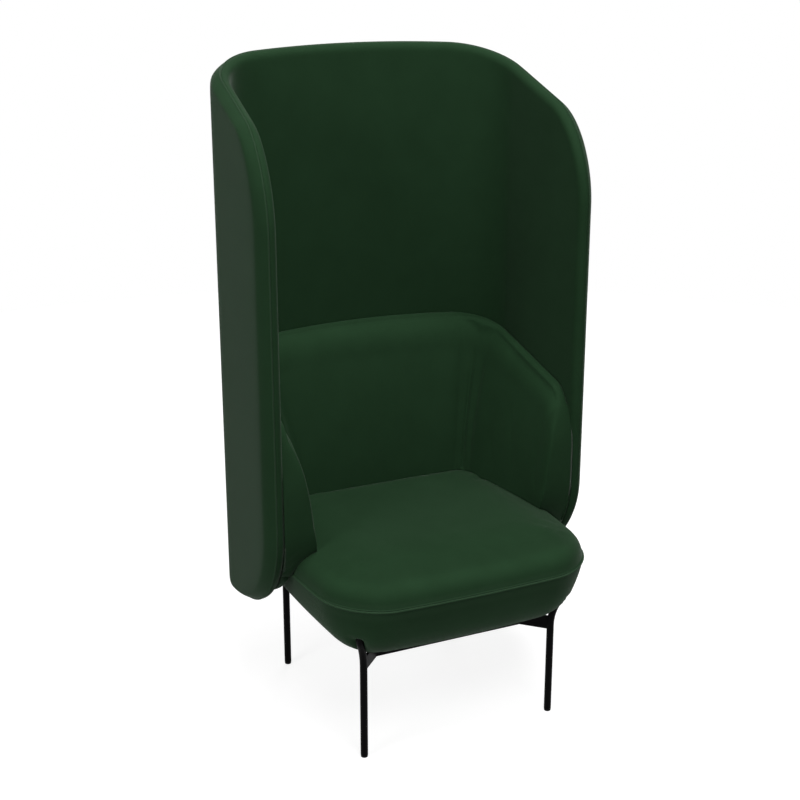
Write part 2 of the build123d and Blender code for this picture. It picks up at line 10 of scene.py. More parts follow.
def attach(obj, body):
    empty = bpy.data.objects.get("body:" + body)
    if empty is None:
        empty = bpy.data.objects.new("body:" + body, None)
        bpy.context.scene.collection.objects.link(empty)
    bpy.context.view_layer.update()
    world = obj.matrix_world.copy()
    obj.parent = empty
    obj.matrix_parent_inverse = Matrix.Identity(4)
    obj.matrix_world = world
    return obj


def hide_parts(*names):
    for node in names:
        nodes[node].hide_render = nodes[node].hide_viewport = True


# High back lounge chair: wool covers over foam on a black steel frame. The CAD frame is loaded
# first, then the covers are made round it. Lengths are in millimetres until a mesh is written.

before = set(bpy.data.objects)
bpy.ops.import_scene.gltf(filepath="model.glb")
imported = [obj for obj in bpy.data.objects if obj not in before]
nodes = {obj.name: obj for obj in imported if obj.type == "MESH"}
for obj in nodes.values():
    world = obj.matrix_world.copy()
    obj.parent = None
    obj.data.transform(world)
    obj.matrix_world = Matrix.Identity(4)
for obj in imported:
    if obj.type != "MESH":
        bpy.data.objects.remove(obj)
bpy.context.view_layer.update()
MM = 0.001

# ---- plan of the tall screen: a shallow bow at the rear, two corners and two straight wings ----
splay = math.radians(3.0)
screen_half = 20.0
wing_front_half = 383.0 - screen_half / math.cos(splay)
wing_front_y = -115.0
rear_mid_y = 316.5
bow_radius = 1520.0
corner_radius = 140.0
bow_y = rear_mid_y - bow_radius
wing_back = np.array((-math.sin(splay), math.cos(splay)))
wing_out = np.array((math.cos(splay), math.sin(splay)))
wing_foot = np.array((wing_front_half, wing_front_y))
reach = wing_foot - corner_radius * wing_out - np.array((0.0, bow_y))
reach_along = float(reach @ wing_back)
wing_run = math.sqrt(
    reach_along ** 2 - float(reach @ reach) + (bow_radius - corner_radius) ** 2
) - reach_along
corner_centre = wing_foot + wing_run * wing_back - corner_radius * wing_out
bow_turn = math.atan2(corner_centre[0], corner_centre[1] - bow_y)
bow_run = bow_radius * bow_turn
corner_run = corner_radius * (math.pi / 2 - splay - bow_turn)
front_s = bow_run + corner_run + wing_run

# ---- screen seen from the side -----------------------------------------------------------------
screen_top_rear = 1429.0
screen_top_slope = 0.36
screen_low = 234.5
top_corner = (134.0, 168.0)         # run along the wing, drop
low_corner = (325.0, 247.0)
even_inset = 2.0                    # up to here an edge is drawn in evenly all round
outer_shares = (0.4, 0.55)          # and past it by these shares, below and above the outer pad

# ---- back and arms -----------------------------------------------------------------------------
wall_out = -20.8                    # outer face of the padded back, from the screen's middle
arm_front_s = front_s - 4.0
arm_front_y = -111.0
ridge_height = 794.4                # top of the rolled rim, at ridge_y
ridge_y = 256.0
ridge_slope = 0.285
arm_corner = (61.0, 135.0)
arm_low_corner = (330.0, 238.0)
back_low = 256.0
shell_cover = 20.0                  # least thickness of the pad where the shell is inside it
turn_cover = 5.5                    # how much more it is where the pad turns into the arm
turn_shares = (0.3, 0.6)            # middle and half width of that turn, in runs of the corner
edge_cover = 0.38                   # share of the pad's depth that is kept at its edge
cover_inset = 2.4                   # inset at which the shell's cover has taken over
rim_width = 22.0
rim_height = 54.0
rim_starts = 610.0                  # from here up an arm's front edge has the rim's rounding
rise_run = 70.0                     # height over which a rounding comes in
groove_sink = 2.5                   # the rim's rear edge, at the screen, lies this much lower
top_swell = 3.0                     # how far the rim's top stands up between its edges
top_swell_rise = (560.0, 80.0)      # height from which it does, and over which it grows
edge_fill = (0.7, 5.4)              # how far an arm's edge reaches past the screen's, and into it
crease_s = 0.45 * bow_run + 0.5 * (bow_run + corner_run)
crease_half = 13.0                  # soft crease between the back and each arm
crease_depth = 4.5
crease_foot = (430.0, 60.0)         # height at which it begins, and over which it deepens
crease_head = (760.0, 110.0)        # height at which it ends, and over which it fades
contact_least = 402.0               # lowest height at which the back's face meets the seat
# the recess round the sitter, at three heights: its rear, and a point of the corner, the middle
# and the front of each arm
recess_levels = (436.0, 600.0, 840.0)
recess_back = (165.5, 205.0, 277.0)
recess_corner_x = (205.0, 240.0, 317.0)
recess_corner_y = (149.0, 188.0, 255.0)
recess_middle_x = (254.0, 279.0, 352.0)
recess_middle_y = (-17.0, 21.0, 21.0)
recess_front_x = (275.0, 291.0, 380.0)
recess_front_y = -140.0
recess_radius = (40.0, 55.0, 80.0)

# ---- legs, where they meet the seat ------------------------------------------------------------
leg_x = 225.0
leg_front_y = -240.5
leg_bend = 213.0                    # height at which a leg begins to lean outwards
leg_bend_radius = 120.0
leg_lean = 60.0                     # height of that bend
leg_top_radius = 30.0
leg_shift = 20.1                    # how far out its top stands
leg_shows = 292.0                   # height up to which a front leg is seen
hollow_half = 21.0                  # half width of the cushion's hollow round a leg
hollow_ease = 13.0                  # width over which each side of it runs out
hollow_head = (8.0, 14.0)           # how far above leg_shows it ends, and over which height
hollow_depth = (1.5, 45.0)          # from this far behind the leg's axis to this far before it

# ---- seat cushion ------------------------------------------------------------------------------
seam_height = 374.0
seat_half = (293.0, 318.0, 313.0)   # at the front, the middle and the rear
seat_front_y = -325.4
seat_rear_y = 173.5
seat_front_corner = 119.0
seat_rear_corner = 30.0
seat_bow = 9.9                      # how far the front's middle stands out
rear_shares = (0.06, 0.1)           # share of an inset at the rear, in the upper and lower half
crown_rise = 1.5                    # a slight dome on top of the upper half
crown_half = (240.0, 200.0)         # its half width and half depth
rub_inset = (22.0, 12.0)            # middle and half width of the worn band round the top
rub_run = 180.0                     # length over which the wear grows towards the front
welt_radius = 2.2
seat_gap = 0.6                      # left between the cushion and what lies on it
skirt_gap = 1.2                     # left beside and behind it
skirt_reach = front_s - 48.0        # how far forward the padding beside it goes, on the screen
skirt_front_y = -66.0               # and on the cushion
skirt_line_y = -130.0               # front end of the line that it follows there
# the sections of both halves: distance in from the seam, height
upper_profile = (
    (0.0, 374.0), (8.0, 398.0), (27.0, 420.0), (62.0, 434.0), (118.0, 444.0), (150.0, 446.0),
)
lower_profile = (
    (0.0, 374.0), (9.0, 330.0), (19.0, 300.0), (37.0, 272.0), (68.0, 248.0), (112.0, 237.0),
    (150.0, 234.3),
)


# ---- lines and grids ---------------------------------------------------------------------------
def eased(share):
    """Share between 0 and 1 with a soft start and end."""
    return share * share * (3 - 2 * share)


def run_along(line):
    """Length along a plan line up to each of its points."""
    steps = np.linalg.norm(np.diff(line[:, :2], axis=0), axis=1)
    return np.concatenate(([0.0], np.cumsum(steps)))


def resample(line, cells):
    """The line cut into cells of one length."""
    line = np.asarray(line, float)
    run = run_along(line)
    at = np.linspace(0, run[-1], cells + 1)
    return np.stack([np.interp(at, run, line[:, c]) for c in range(line.shape[1])], axis=1)


def quarter(start, corner, end, count=28):
    """Quarter of an ellipse from start to end, inside the corner."""
    turn = np.linspace(0, math.pi / 2, count)[:, None]
    start, corner, end = (np.asarray(p, float) for p in (start, corner, end))
    return corner + (start - corner) * (1 - np.sin(turn)) + (end - corner) * (1 - np.cos(turn))


def straight(start, end, count=24):
    share = np.linspace(0, 1, count)[:, None]
    return np.asarray(start, float) * (1 - share) + np.asarray(end, float) * share


def join(*lines):
    """One line from several that follow each other, their shared ends kept once."""
    out = [np.asarray(lines[0], float)]
    for line in lines[1:]:
        out.append(np.asarray(line, float)[1:])
    return np.concatenate(out)


def four_sides(low_half, side, top_half):
    """Whole outline from its right half: lower, right, upper and left side."""
    def flip(line):
        line = np.array(line)
        line[:, 0] *= -1
        return line

    low = join(flip(low_half)[::-1], low_half)
    top = join(flip(top_half), top_half[::-1])
    return low, np.array(side), top, flip(side)


def span_grid(sides_at, insets, nx, ny):
    """Grid whose outer rings follow the outline drawn in by each inset, spanned evenly inside."""
    width = np.asarray(sides_at(insets[0])[0]).shape[1]
    grid = np.zeros((nx + 1, ny + 1, width))
    ring = np.full((nx + 1, ny + 1), len(insets) - 1)
    for k, inset in enumerate(insets):
        low, right, top, left = sides_at(inset)
        i, j = slice(k, nx - k + 1), slice(k, ny - k + 1)
        low, top = resample(low, nx - 2 * k), resample(top, nx - 2 * k)
        right, left = resample(right, ny - 2 * k), resample(left, ny - 2 * k)
        grid[i, k], grid[i, ny - k], grid[k, j], grid[nx - k, j] = low, top, left, right
        ring[i, k] = ring[i, ny - k] = k
        ring[k, j] = ring[nx - k, j] = k
    a = np.linspace(0, 1, low.shape[0])[:, None, None]
    b = np.linspace(0, 1, left.shape[0])[None, :, None]
    inner = (
        (1 - b) * low[:, None] + b * top[:, None] + (1 - a) * left[None] + a * right[None]
        - (1 - a) * (1 - b) * low[0] - a * (1 - b) * low[-1]
        - (1 - a) * b * top[0] - a * b * top[-1]
    )
    last = len(insets) - 1
    grid[last:nx - last + 1, last:ny - last + 1] = inner
    return grid, ring


def on_edge(nx, ny):
    mask = np.zeros((nx + 1, ny + 1), bool)
    mask[0] = mask[nx] = True
    mask[:, 0] = mask[:, ny] = True
    return mask


def outward(sides_at, nx, ny):
    """Direction out of the outline at each point of the grid's edge, in the outline's plane."""
    near = span_grid(sides_at, (0.0,), nx, ny)[0][..., :2]
    far = span_grid(sides_at, (6.0,), nx, ny)[0][..., :2]
    way = near - far
    return way / np.maximum(np.linalg.norm(way, axis=2, keepdims=True), 1e-6)


def put(name, data):
    """New object of the scene, at the origin."""
    made = bpy.data.objects.new(name, data)
    bpy.context.scene.collection.objects.link(made)
    return made


def points_of(mesh):
    at = np.empty(len(mesh.vertices) * 3)
    mesh.vertices.foreach_get("co", at)
    return at.reshape(-1, 3)


def move_points(mesh, at):
    mesh.vertices.foreach_set("co", at.ravel())
    mesh.update()


def empty_layers(nz, nx, ny):
    """Places, flat cloth coordinates and marks (seam, rub) of a pad's layers, still zero."""
    size = (nz + 1, nx + 1, ny + 1)
    return np.zeros((*size, 3)), np.zeros((*size, 2)), np.zeros((*size, 2))


def padded_body(name, places, flat, marks):
    """Closed pad from layers of points: places[l, i, j] in mm, flat the cloth's own coordinates."""
    nz, nx, ny = (n - 1 for n in places.shape[:3])
    bm = bmesh.new()
    bmesh.ops.create_cube(bm, size=2)
    for axis, cells in enumerate((nx, ny, nz)):
        lines = [e for e in bm.edges if abs(e.verts[0].co[axis] - e.verts[1].co[axis]) > 1.9]
        bmesh.ops.subdivide_edges(bm, edges=lines, cuts=cells - 1, use_grid_fill=True)
    bm.verts.index_update()
    index = [tuple(round((c + 1) / 2 * n) for c, n in zip(v.co, (nx, ny, nz))) for v in bm.verts]
    cloth = bm.loops.layers.uv.new("cloth")
    seam = bm.verts.layers.float.new("seam")
    rub = bm.verts.layers.float.new("rub")
    for v, (i, j, l) in zip(bm.verts, index):
        v.co = places[l, i, j] * MM
        v[seam], v[rub] = marks[l, i, j]
    for face in bm.faces:
        face.smooth = True
        for loop in face.loops:
            i, j, l = index[loop.vert.index]
            loop[cloth].uv = flat[l, i, j] * MM
    bmesh.ops.recalc_face_normals(bm, faces=bm.faces)
    mesh = bpy.data.meshes.new(name)
    bm.to_mesh(mesh)
    bm.free()
    piece = put(name, mesh)
    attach(piece, "root")
    return piece, np.array(index)


# ---- screen ------------------------------------------------------------------------------------
def screen_plan(s, out):
    """Plan place of a point s from the middle of the rear, out from the middle surface."""
    side = np.where(s < 0, -1.0, 1.0)
    a = np.abs(s)
    on_bow = a < bow_run
    corner_turn = bow_turn + np.clip(a - bow_run, 0, corner_run) / corner_radius
    turn = np.where(on_bow, a / bow_radius, corner_turn)
    radius = np.where(on_bow, bow_radius, corner_radius) + out
    ahead = np.clip(a - bow_run - corner_run, 0, None)
    x = np.where(on_bow, 0.0, corner_centre[0]) + radius * np.sin(turn) - ahead * wing_back[0]
    y = np.where(on_bow, bow_y, corner_centre[1]) + radius * np.cos(turn) - ahead * wing_back[1]
    return side * x, y


def screen_point(flat, out):
    x, y = screen_plan(flat[..., 0], out)
    return np.stack((x, y, flat[..., 1]), axis=-1)


def screen_outline(low_share=1.0, top_share=1.0):
    """Function from an inset to the screen's sides rolled out flat.

    Past the seam the lower and upper edges are drawn in by a share of the inset only.
    """
    def sides(inset):
        past = max(inset - even_inset, 0.0)
        return screen_sides(inset, inset - (1 - low_share) * past, inset - (1 - top_share) * past)
    return sides


def screen_sides(inset, low_inset, top_inset):
    """Outline of the screen rolled out flat, drawn in at the front, below and above."""
    lean = math.sqrt(1 + screen_top_slope ** 2)

    def top(s):
        fall = screen_top_slope * (rear_mid_y - screen_plan(s, 0)[1])
        return screen_top_rear - fall - lean * top_inset

    front = front_s - inset
    low = screen_low + low_inset
    foot = quarter(
        (front_s - low_corner[0], low), (front, low), (front, screen_low + low_corner[1])
    )
    start = front_s - top_corner[0]
    front_top = float(top(np.array(front)))
    head = quarter(
        (front, front_top - top_corner[1] + top_inset), (front, front_top),
        (start, float(top(np.array(start)))),
    )
    ridge_s = np.linspace(start, 0, 90)
    ridge = np.stack((ridge_s, top(ridge_s)), axis=1)
    half = len(foot) // 2
    low_half = join(straight((0, low), foot[0], 60), foot[: half + 1])
    side = join(foot[half:], straight(foot[-1], head[0]), head[: half + 1])
    return four_sides(low_half, side, join(head[half:], ridge))


def screen_pad(name, edge, face, hidden, outline, nx, ny):
    """One padded face of the screen from its section: edge, face and hidden hold (inset, out)."""
    nz = len(edge)
    mask = on_edge(nx, ny)
    way = outward(outline, nx, ny)
    places, flat, marks = empty_layers(nz, nx, ny)
    grid, ring = span_grid(screen_outline(), [p[0] for p in hidden], nx, ny)
    places[0] = screen_point(grid, np.array([p[1] for p in hidden])[ring])
    flat[0] = grid
    grid, ring = span_grid(outline, [p[0] for p in face], nx, ny)
    places[nz] = screen_point(grid, np.array([p[1] for p in face])[ring])
    flat[nz] = grid
    run = 0.0
    last = face[0]
    for layer in range(nz - 1, 0, -1):
        inset, out, seam = edge[layer]
        run += math.dist((inset, out), last[:2])
        last = (inset, out)
        line = span_grid(outline, (inset,), nx, ny)[0]
        places[layer][mask] = screen_point(line, out)[mask]
        flat[layer][mask] = (grid + way * run)[mask]
        marks[layer][mask] = (seam, 0.0)
    return padded_body(name, places, flat, marks)[0]


def band(start, end, swell, shares):
    """Points of a slightly swollen band between two points of a section."""
    dx, dy = end[0] - start[0], end[1] - start[1]
    length = math.hypot(dx, dy)
    return [
        (
            start[0] + dx * t - dy / length * swell * 4 * t * (1 - t),
            start[1] + dy * t + dx / length * swell * 4 * t * (1 - t),
        )
        for t in shares
    ]


# sections of the screen's edge: distance in from its outline, distance out from its middle and,
# along the edge, how far the point belongs to the seam, drawn lighter by wear and painted highlight
slant = band((1.3, 1.7), (22.5, 18.4), 1.6, (0, 0.07, 0.18, 0.32, 0.47, 0.62, 0.77, 0.9, 1))
outer_edge = [
    (1.2, -1.9, 0.0), (0.1, -1.8, 1.0), (-0.7, -1.2, 1.0), (-1.0, -0.4, 1.0), (-0.6, 0.4, 1.0),
    (0.2, 0.9, 0.6), (0.9, 1.3, 0.1),
] + [(x, y, 0.0) for x, y in slant[:6]]
outer_face = slant[6:] + [
    (25.2, 19.4), (28.6, 20.1), (33.0, 20.6), (38.5, 20.95), (46.0, 21.2), (56.0, 21.4),
    (69.0, 21.5), (85.0, 21.5), (103.0, 21.5),
]
outer_hidden = [(1.2, -1.9), (6.0, -1.9), (12.4, -1.9), (13.6, 4.9), (20.0, 4.9)]
inner_edge = [
    (1.2, -2.1, 0.0), (0.4, -2.6, 0.0), (0.0, -3.8, 0.0), (-0.1, -5.6, 0.0), (0.3, -8.2, 0.0),
    (1.4, -11.2, 0.0), (3.2, -14.0, 0.0),
]
inner_face = [
    (5.8, -16.6), (9.0, -18.5), (12.6, -19.6), (17.0, -20.0), (23.0, -20.0), (30.0, -20.0),
]
inner_hidden = [(1.2, -2.1), (6.0, -2.1), (12.4, -2.1), (13.6, -4.9), (20.0, -4.9)]

screen_cells = ((196, 148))
screen_outer = screen_pad(
    "screen_outer_pad", outer_edge, outer_face, outer_hidden, screen_outline(*outer_shares),
    *screen_cells,
)
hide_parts("screen_cover_outer", "screen_foam_outer")
screen_inner = screen_pad(
    "screen_inner_pad", inner_edge, inner_face, inner_hidden, screen_outline(), *screen_cells
)
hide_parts("screen_cover_inner", "screen_foam_inner")


# ---- seat cushion ------------------------------------------------------------------------------
def three_point(values, at, x):
    """Value at x of the curve through three values at three places."""
    total = 0
    for k in range(3):
        term = values[k]
        for m in range(3):
            if m != k:
                term = term * (x - at[m]) / (at[k] - at[m])
        total = total + term
    return total


seat_mid_y = (seat_front_y + seat_rear_y) / 2


def seat_side(y):
    """Half width of the seat's outline."""
    return three_point(seat_half, (seat_front_y, seat_mid_y, seat_rear_y), y)


def seat_outline(rear_share):
    """Function from an inset to the seat's four sides."""
    def sides(inset):
        front_y = seat_front_y + inset
        rear_y = seat_rear_y - (rear_share * inset if inset > 0 else inset)
        half = seat_half[1] - inset
        front_r = max(seat_front_corner - 0.77 * inset, 18)
        rear_r = max(seat_rear_corner - 0.1 * inset, 10)
        front = quarter((half - front_r, front_y), (half, front_y), (half, front_y + front_r))
        rear = quarter((half, rear_y - rear_r), (half, rear_y), (half - rear_r, rear_y))
        mid = len(front) // 2
        low_half = join(straight((0, front_y), front[0], 40), front[: mid + 1])
        side = join(front[mid:], straight(front[-1], rear[0], 40), rear[: mid + 1])
        top_half = join(rear[mid:], straight(rear[-1], (0, rear_y), 40))

        def warp(line):
            x, y = line[:, 0], line[:, 1]
            outer_y = y + inset * (seat_mid_y - y) / (seat_mid_y - front_y)
            outer_y = np.clip(outer_y, seat_front_y, None)
            out = x * (seat_side(outer_y) - inset) / half
            bow = seat_bow * (1 - (x / (seat_half[0] - inset)) ** 2)
            ahead = np.clip((seat_mid_y - y) / (seat_mid_y - front_y), 0, 1)
            return np.stack((out, y - bow * ahead ** 2), axis=1)

        return four_sides(warp(low_half), warp(side), warp(top_half))
    return sides


def smooth_profile(profile, insets):
    """Heights of a profile at the insets, on an even curve through its points."""
    at, heights = (np.array(v) for v in zip(*profile))
    run = np.concatenate(([0.0], np.cumsum(np.hypot(np.diff(at), np.diff(heights)))))
    fine = np.linspace(0, run[-1], 400)

    def through(values):
        slope = np.gradient(values, run)
        k = np.clip(np.searchsorted(run, fine, side="right") - 1, 0, len(run) - 2)
        width = run[k + 1] - run[k]
        t = (fine - run[k]) / width
        return (
            (1 + 2 * t) * (1 - t) ** 2 * values[k] + t * (1 - t) ** 2 * width * slope[k]
            + t * t * (3 - 2 * t) * values[k + 1] + t * t * (t - 1) * width * slope[k + 1]
        )

    return np.interp(insets, np.maximum.accumulate(through(at)), through(heights))


def edge_distance(x, y):
    """Distance in from the seat's front and sides, with eased front corners."""
    side = seat_side(np.clip(y, seat_front_y, seat_rear_y)) - np.abs(x)
    front = y - (seat_front_y - seat_bow * (1 - (x / seat_half[0]) ** 2))
    corner = 100.0                  # reach of the easing
    both = np.hypot(np.clip(corner - side, 0, None), np.clip(corner - front, 0, None))
    return np.where((side < corner) | (front < corner), corner - both, np.minimum(side, front))


def seat_cushion_half(name, profile, rear_share, lip, hidden_z, nx, ny, crown):
    """Half of the cushion: lip holds the section's points beside the seam, then the profile."""
    sides = seat_outline(rear_share)
    sign = 1 if profile[-1][1] > profile[0][1] else -1
    insets = np.array((
        1.0, 1.9, 3.2, 5.0, 7.4, 10.4, 14.0, 18.5, 24.0, 30.5, 38.0, 46.5, 56.0, 66.5, 78.0,
    ))
    heights = smooth_profile(profile, insets)
    nz = len(lip)
    mask = on_edge(nx, ny)
    way = outward(sides, nx, ny)
    places, flat, marks = empty_layers(nz, nx, ny)
    grid, ring = span_grid(sides, insets, nx, ny)
    # inside the last ring the height goes on with the distance from the front and the sides
    last = len(insets) - 1
    a = np.minimum(np.arange(nx + 1), nx - np.arange(nx + 1))[:, None]
    b = np.minimum(np.arange(ny + 1), ny - np.arange(ny + 1))[None, :]
    inner = np.minimum(a, b) > last
    deeper = np.clip(edge_distance(grid[..., 0], grid[..., 1]), insets[-1], profile[-1][0])
    height = np.where(inner, smooth_profile(profile, deeper), heights[ring])
    across, along = grid[..., 0] / crown_half[0], (grid[..., 1] - seat_mid_y) / crown_half[1]
    from_middle = np.clip(np.hypot(across, along), 0, 1)
    height = height + sign * crown * (1 - from_middle ** 2) ** 2
    places[nz] = np.dstack((grid, height))
    # developed length beyond the level plane keeps the weave even down the sides
    over = np.zeros(len(insets))
    for k in range(len(insets) - 2, -1, -1):
        step = insets[k + 1] - insets[k]
        over[k] = over[k + 1] + math.hypot(step, heights[k + 1] - heights[k]) - step
    edge_way = np.zeros((nx + 1, ny + 1, 2))
    for k in range(len(insets)):
        i, j = slice(k, nx - k + 1), slice(k, ny - k + 1)
        part = outward(sides, nx - 2 * k, ny - 2 * k)
        edge_way[i, k], edge_way[i, ny - k] = part[:, 0], part[:, -1]
        edge_way[k, j], edge_way[nx - k, j] = part[0], part[-1]
    flat[nz] = grid + edge_way * np.where(inner, 0, over[ring])[..., None]
    # the band by the seam is drawn lighter: partly wear, partly a painted highlight on the seam
    marks[nz][..., 0] = np.where(inner, 0, (insets < 4.0).astype(float)[ring] * 0.35)
    worn = np.exp(-((insets - rub_inset[0]) / rub_inset[1]) ** 2)
    to_front = np.clip((seat_mid_y - grid[..., 1]) / rub_run, 0, 1)
    marks[nz][..., 1] = np.where(inner, 0, worn[ring]) * to_front
    run = over[0]
    last_point = (insets[0], heights[0])
    base = span_grid(sides, (insets[0],), nx, ny)[0]
    for layer in range(nz - 1, 0, -1):
        inset, z = lip[layer]
        run += math.dist((inset, z), last_point)
        last_point = (inset, z)
        line = span_grid(sides, (inset,), nx, ny)[0]
        places[layer][mask] = np.dstack((line, np.full(line.shape[:2], z)))[mask]
        flat[layer][mask] = (base + way * run)[mask]
        # the lip at the seam is drawn lighter: partly wear, partly a painted highlight on the seam
        marks[layer][mask] = (0.7, 0.0)
    start = lip[0][0]
    grid0, _ = span_grid(sides, (start, start + 6, start + 14), nx, ny)
    places[0] = np.dstack((grid0, np.full(grid0.shape[:2], hidden_z)))
    flat[0] = grid0
    return padded_body(name, places, flat, marks)


def layer_and_depth(index, cells):
    """Layer of each point of a pad, and how many cells it lies in from the pad's outline."""
    i, j, layer = index.T
    return layer, np.minimum.reduce((i, j, cells[0] - i, cells[1] - j))


def relax(piece, held, cap, pressure=4.0):
    """Let the pad swell under its cover as cloth, each point held or moved no further than cap."""
    start = points_of(piece.data)
    trial = put(piece.name + "_trial", piece.data.copy())
    group = trial.vertex_groups.new(name="held")
    for v in np.nonzero(held)[0]:
        group.add([int(v)], 1.0, "REPLACE")
    cloth = trial.modifiers.new("cloth", "CLOTH")
    settings = cloth.settings
    settings.quality = 5
    settings.mass = 0.3
    settings.tension_stiffness = settings.compression_stiffness = 18
    settings.shear_stiffness = 8
    settings.bending_stiffness = 1.2
    settings.use_pressure = True
    settings.uniform_pressure_force = pressure
    settings.vertex_group_mass = "held"
    settings.effector_weights.gravity = 0
    cloth.point_cache.frame_start, cloth.point_cache.frame_end = 1, cloth_frames
    scene = bpy.context.scene
    for step in range(1, cloth_frames + 1):
        scene.frame_set(step)
    swollen = trial.evaluated_get(bpy.context.evaluated_depsgraph_get()).to_mesh()
    move = points_of(swollen) - start
    scene.frame_set(1)
    bpy.data.objects.remove(trial)
    size = np.linalg.norm(move, axis=1)
    cap = np.asarray(cap) * MM
    # the move eases towards its cap, so no ridge shows where points reach it
    kept = cap * np.tanh(size / np.maximum(cap, 1e-9))
    move *= (kept / np.maximum(size, 1e-9))[:, None]
    move_points(piece.data, start + move)
    print("relax", piece.name, "moved at most", round(float(size.max() / MM), 2), "mm, kept",
          round(float(kept.max() / MM), 2), "mm")


cloth_frames = 20
top_cap, side_cap, back_cap = 4.0, 2.5, 9.0     # how far the cloth may move each face
top_held, side_held, back_held = 5, 2, 10       # cells beside its outline that stay as they are
side_ends = 15                                  # cells in from it at which the seat's side ends
seat_cells = (80, 72)
# the covers beside the seam, from inside it to the start of the profile: inset, height
upper_lip = [(6.0, 374.3), (3.4, 374.3), (2.7, 374.9), (2.0, 375.8), (1.1, 376.6), (0.7, 377.6)]
lower_lip = [(6.0, 373.7), (3.4, 373.7), (2.7, 373.1), (2.0, 372.2), (1.1, 371.4), (0.7, 370.4)]
seat_upper, index = seat_cushion_half(
    "seat_cushion_upper", upper_profile, rear_shares[0], upper_lip, 374.3, *seat_cells, crown_rise
)
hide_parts("seat_cover_upper", "seat_foam_upper")
layer, depth = layer_and_depth(index, seat_cells)
top_face = layer == len(upper_lip)
spread = np.clip((depth - top_held) / 12, 0, 1)
relax(seat_upper, ~(top_face & (depth > top_held)), top_cap * spread * top_face)
seat_lower, index = seat_cushion_half(
    "seat_cushion_lower", lower_profile, rear_shares[1], lower_lip, 373.7, *seat_cells, 0.0
)
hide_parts("seat_cover_lower", "seat_foam_lower")
layer, depth = layer_and_depth(index, seat_cells)
side_face = (layer == len(lower_lip)) & (depth > side_held) & (depth < side_ends)
spread = np.clip((depth - side_held) / 4, 0, 1) * np.clip((side_ends - depth) / 4, 0, 1)
relax(seat_lower, ~side_face, side_cap * spread * side_face)


def make_room_for_leg(piece, side):
    """Draw the cushion in round the top of a front leg, so that the leg shows up to leg_shows."""
    at = points_of(piece.data) / MM
    z = at[:, 2]
    # the leg leans outwards along one arc and stands up again along a smaller one
    lean = np.clip(z - leg_bend, 0, leg_lean)
    shift = leg_bend_radius - np.sqrt(leg_bend_radius ** 2 - lean ** 2)
    back = np.clip(leg_top_radius / 2 - (z - leg_bend - leg_lean), 0, leg_top_radius / 2)
    upright = leg_shift - (leg_top_radius - np.sqrt(leg_top_radius ** 2 - back ** 2))
    shift = np.where(z > leg_bend + leg_lean, upright, shift)
    out = np.array((side, -1.0)) / math.sqrt(2)
    rel = at[:, :2] - np.array((side * leg_x, leg_front_y)) - shift[:, None] * out
    along = rel @ out
    across = rel @ np.array((-out[1], out[0]))
    near = eased(np.clip((hollow_half - np.abs(across)) / hollow_ease, 0, 1))
    low = eased(np.clip((leg_shows + hollow_head[0] - z) / hollow_head[1], 0, 1))
    move = np.clip(along + hollow_depth[0], 0, None) * near * low * (along < hollow_depth[1])
    at[:, :2] -= move[:, None] * out
    move_points(piece.data, at * MM)


for side in (-1, 1):
    make_room_for_leg(seat_lower, side)
seat_shape = BVHTree.FromObject(seat_upper, bpy.context.evaluated_depsgraph_get())


def seat_top(x, y):
    """Height of the finished cushion at each place, or the seam's height outside it."""
    heights = np.full(np.shape(x), seam_height)
    for at in np.ndindex(np.shape(x)):
        hit = seat_shape.ray_cast(Vector((x[at] * MM, y[at] * MM, 1.0)), Vector((0, 0, -1)))
        if hit[0] is not None:
            heights[at] = hit[0].z / MM
    return heights


def piping(name, line, radius, node):
    """Covered cord sewn into a seam, along a closed line."""
    curve = bpy.data.curves.new(name, "CURVE")
    curve.dimensions = "3D"
    curve.bevel_depth = radius * MM
    curve.bevel_resolution = 4
    spline = curve.splines.new("POLY")
    spline.points.add(len(line) - 1)
    for point, place in zip(spline.points, line):
        point.co = (*[c * MM for c in place], 1)
    spline.use_cyclic_u = True
    shape = put(name + "_line", curve)
    bpy.context.view_layer.update()
    final = shape.evaluated_get(bpy.context.evaluated_depsgraph_get())
    mesh = bpy.data.meshes.new_from_object(final)
    bpy.data.objects.remove(shape)
    bm = bmesh.new()
    bm.from_mesh(mesh)
    bmesh.ops.remove_doubles(bm, verts=bm.verts, dist=1e-6)
    bmesh.ops.recalc_face_normals(bm, faces=bm.faces)
    for face in bm.faces:
        face.smooth = True
    bm.to_mesh(mesh)
    bm.free()
    piece = put(name, mesh)
    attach(piece, "root")
    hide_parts(node)
    return piece


low, right, top, left = seat_outline(rear_shares[1])(-0.2)
welt_line = join(low, right, top[::-1], left[::-1])[:-1]
welt_line = resample(np.vstack((welt_line, welt_line[:1])), 420)[:-1]
seat_welt = piping(
    "seat_piping", [(x, y, seam_height) for x, y in welt_line], welt_radius, "seat_welt"
)


# ---- back and arms -----------------------------------------------------------------------------
def circle_arc(a, b, c, count):
    """Points of the circle from a through b to c."""
    ax, ay, bx, by, cx, cy = *a, *b, *c
    d = 2 * (ax * (by - cy) + bx * (cy - ay) + cx * (ay - by))
    aa, bb, cc = ax ** 2 + ay ** 2, bx ** 2 + by ** 2, cx ** 2 + cy ** 2
    ux = (aa * (by - cy) + bb * (cy - ay) + cc * (ay - by)) / d
    uy = (aa * (cx - bx) + bb * (ax - cx) + cc * (bx - ax)) / d
    r = math.hypot(ax - ux, ay - uy)
    start, middle, end = (math.atan2(y - uy, x - ux) for x, y in (a, b, c))
    turn = (middle - start + math.pi) % (2 * math.pi) - math.pi
    turn += (end - middle + math.pi) % (2 * math.pi) - math.pi
    angles = start + np.linspace(0, 1, count) * turn
    return np.stack((ux + r * np.cos(angles), uy + r * np.sin(angles)), axis=1)


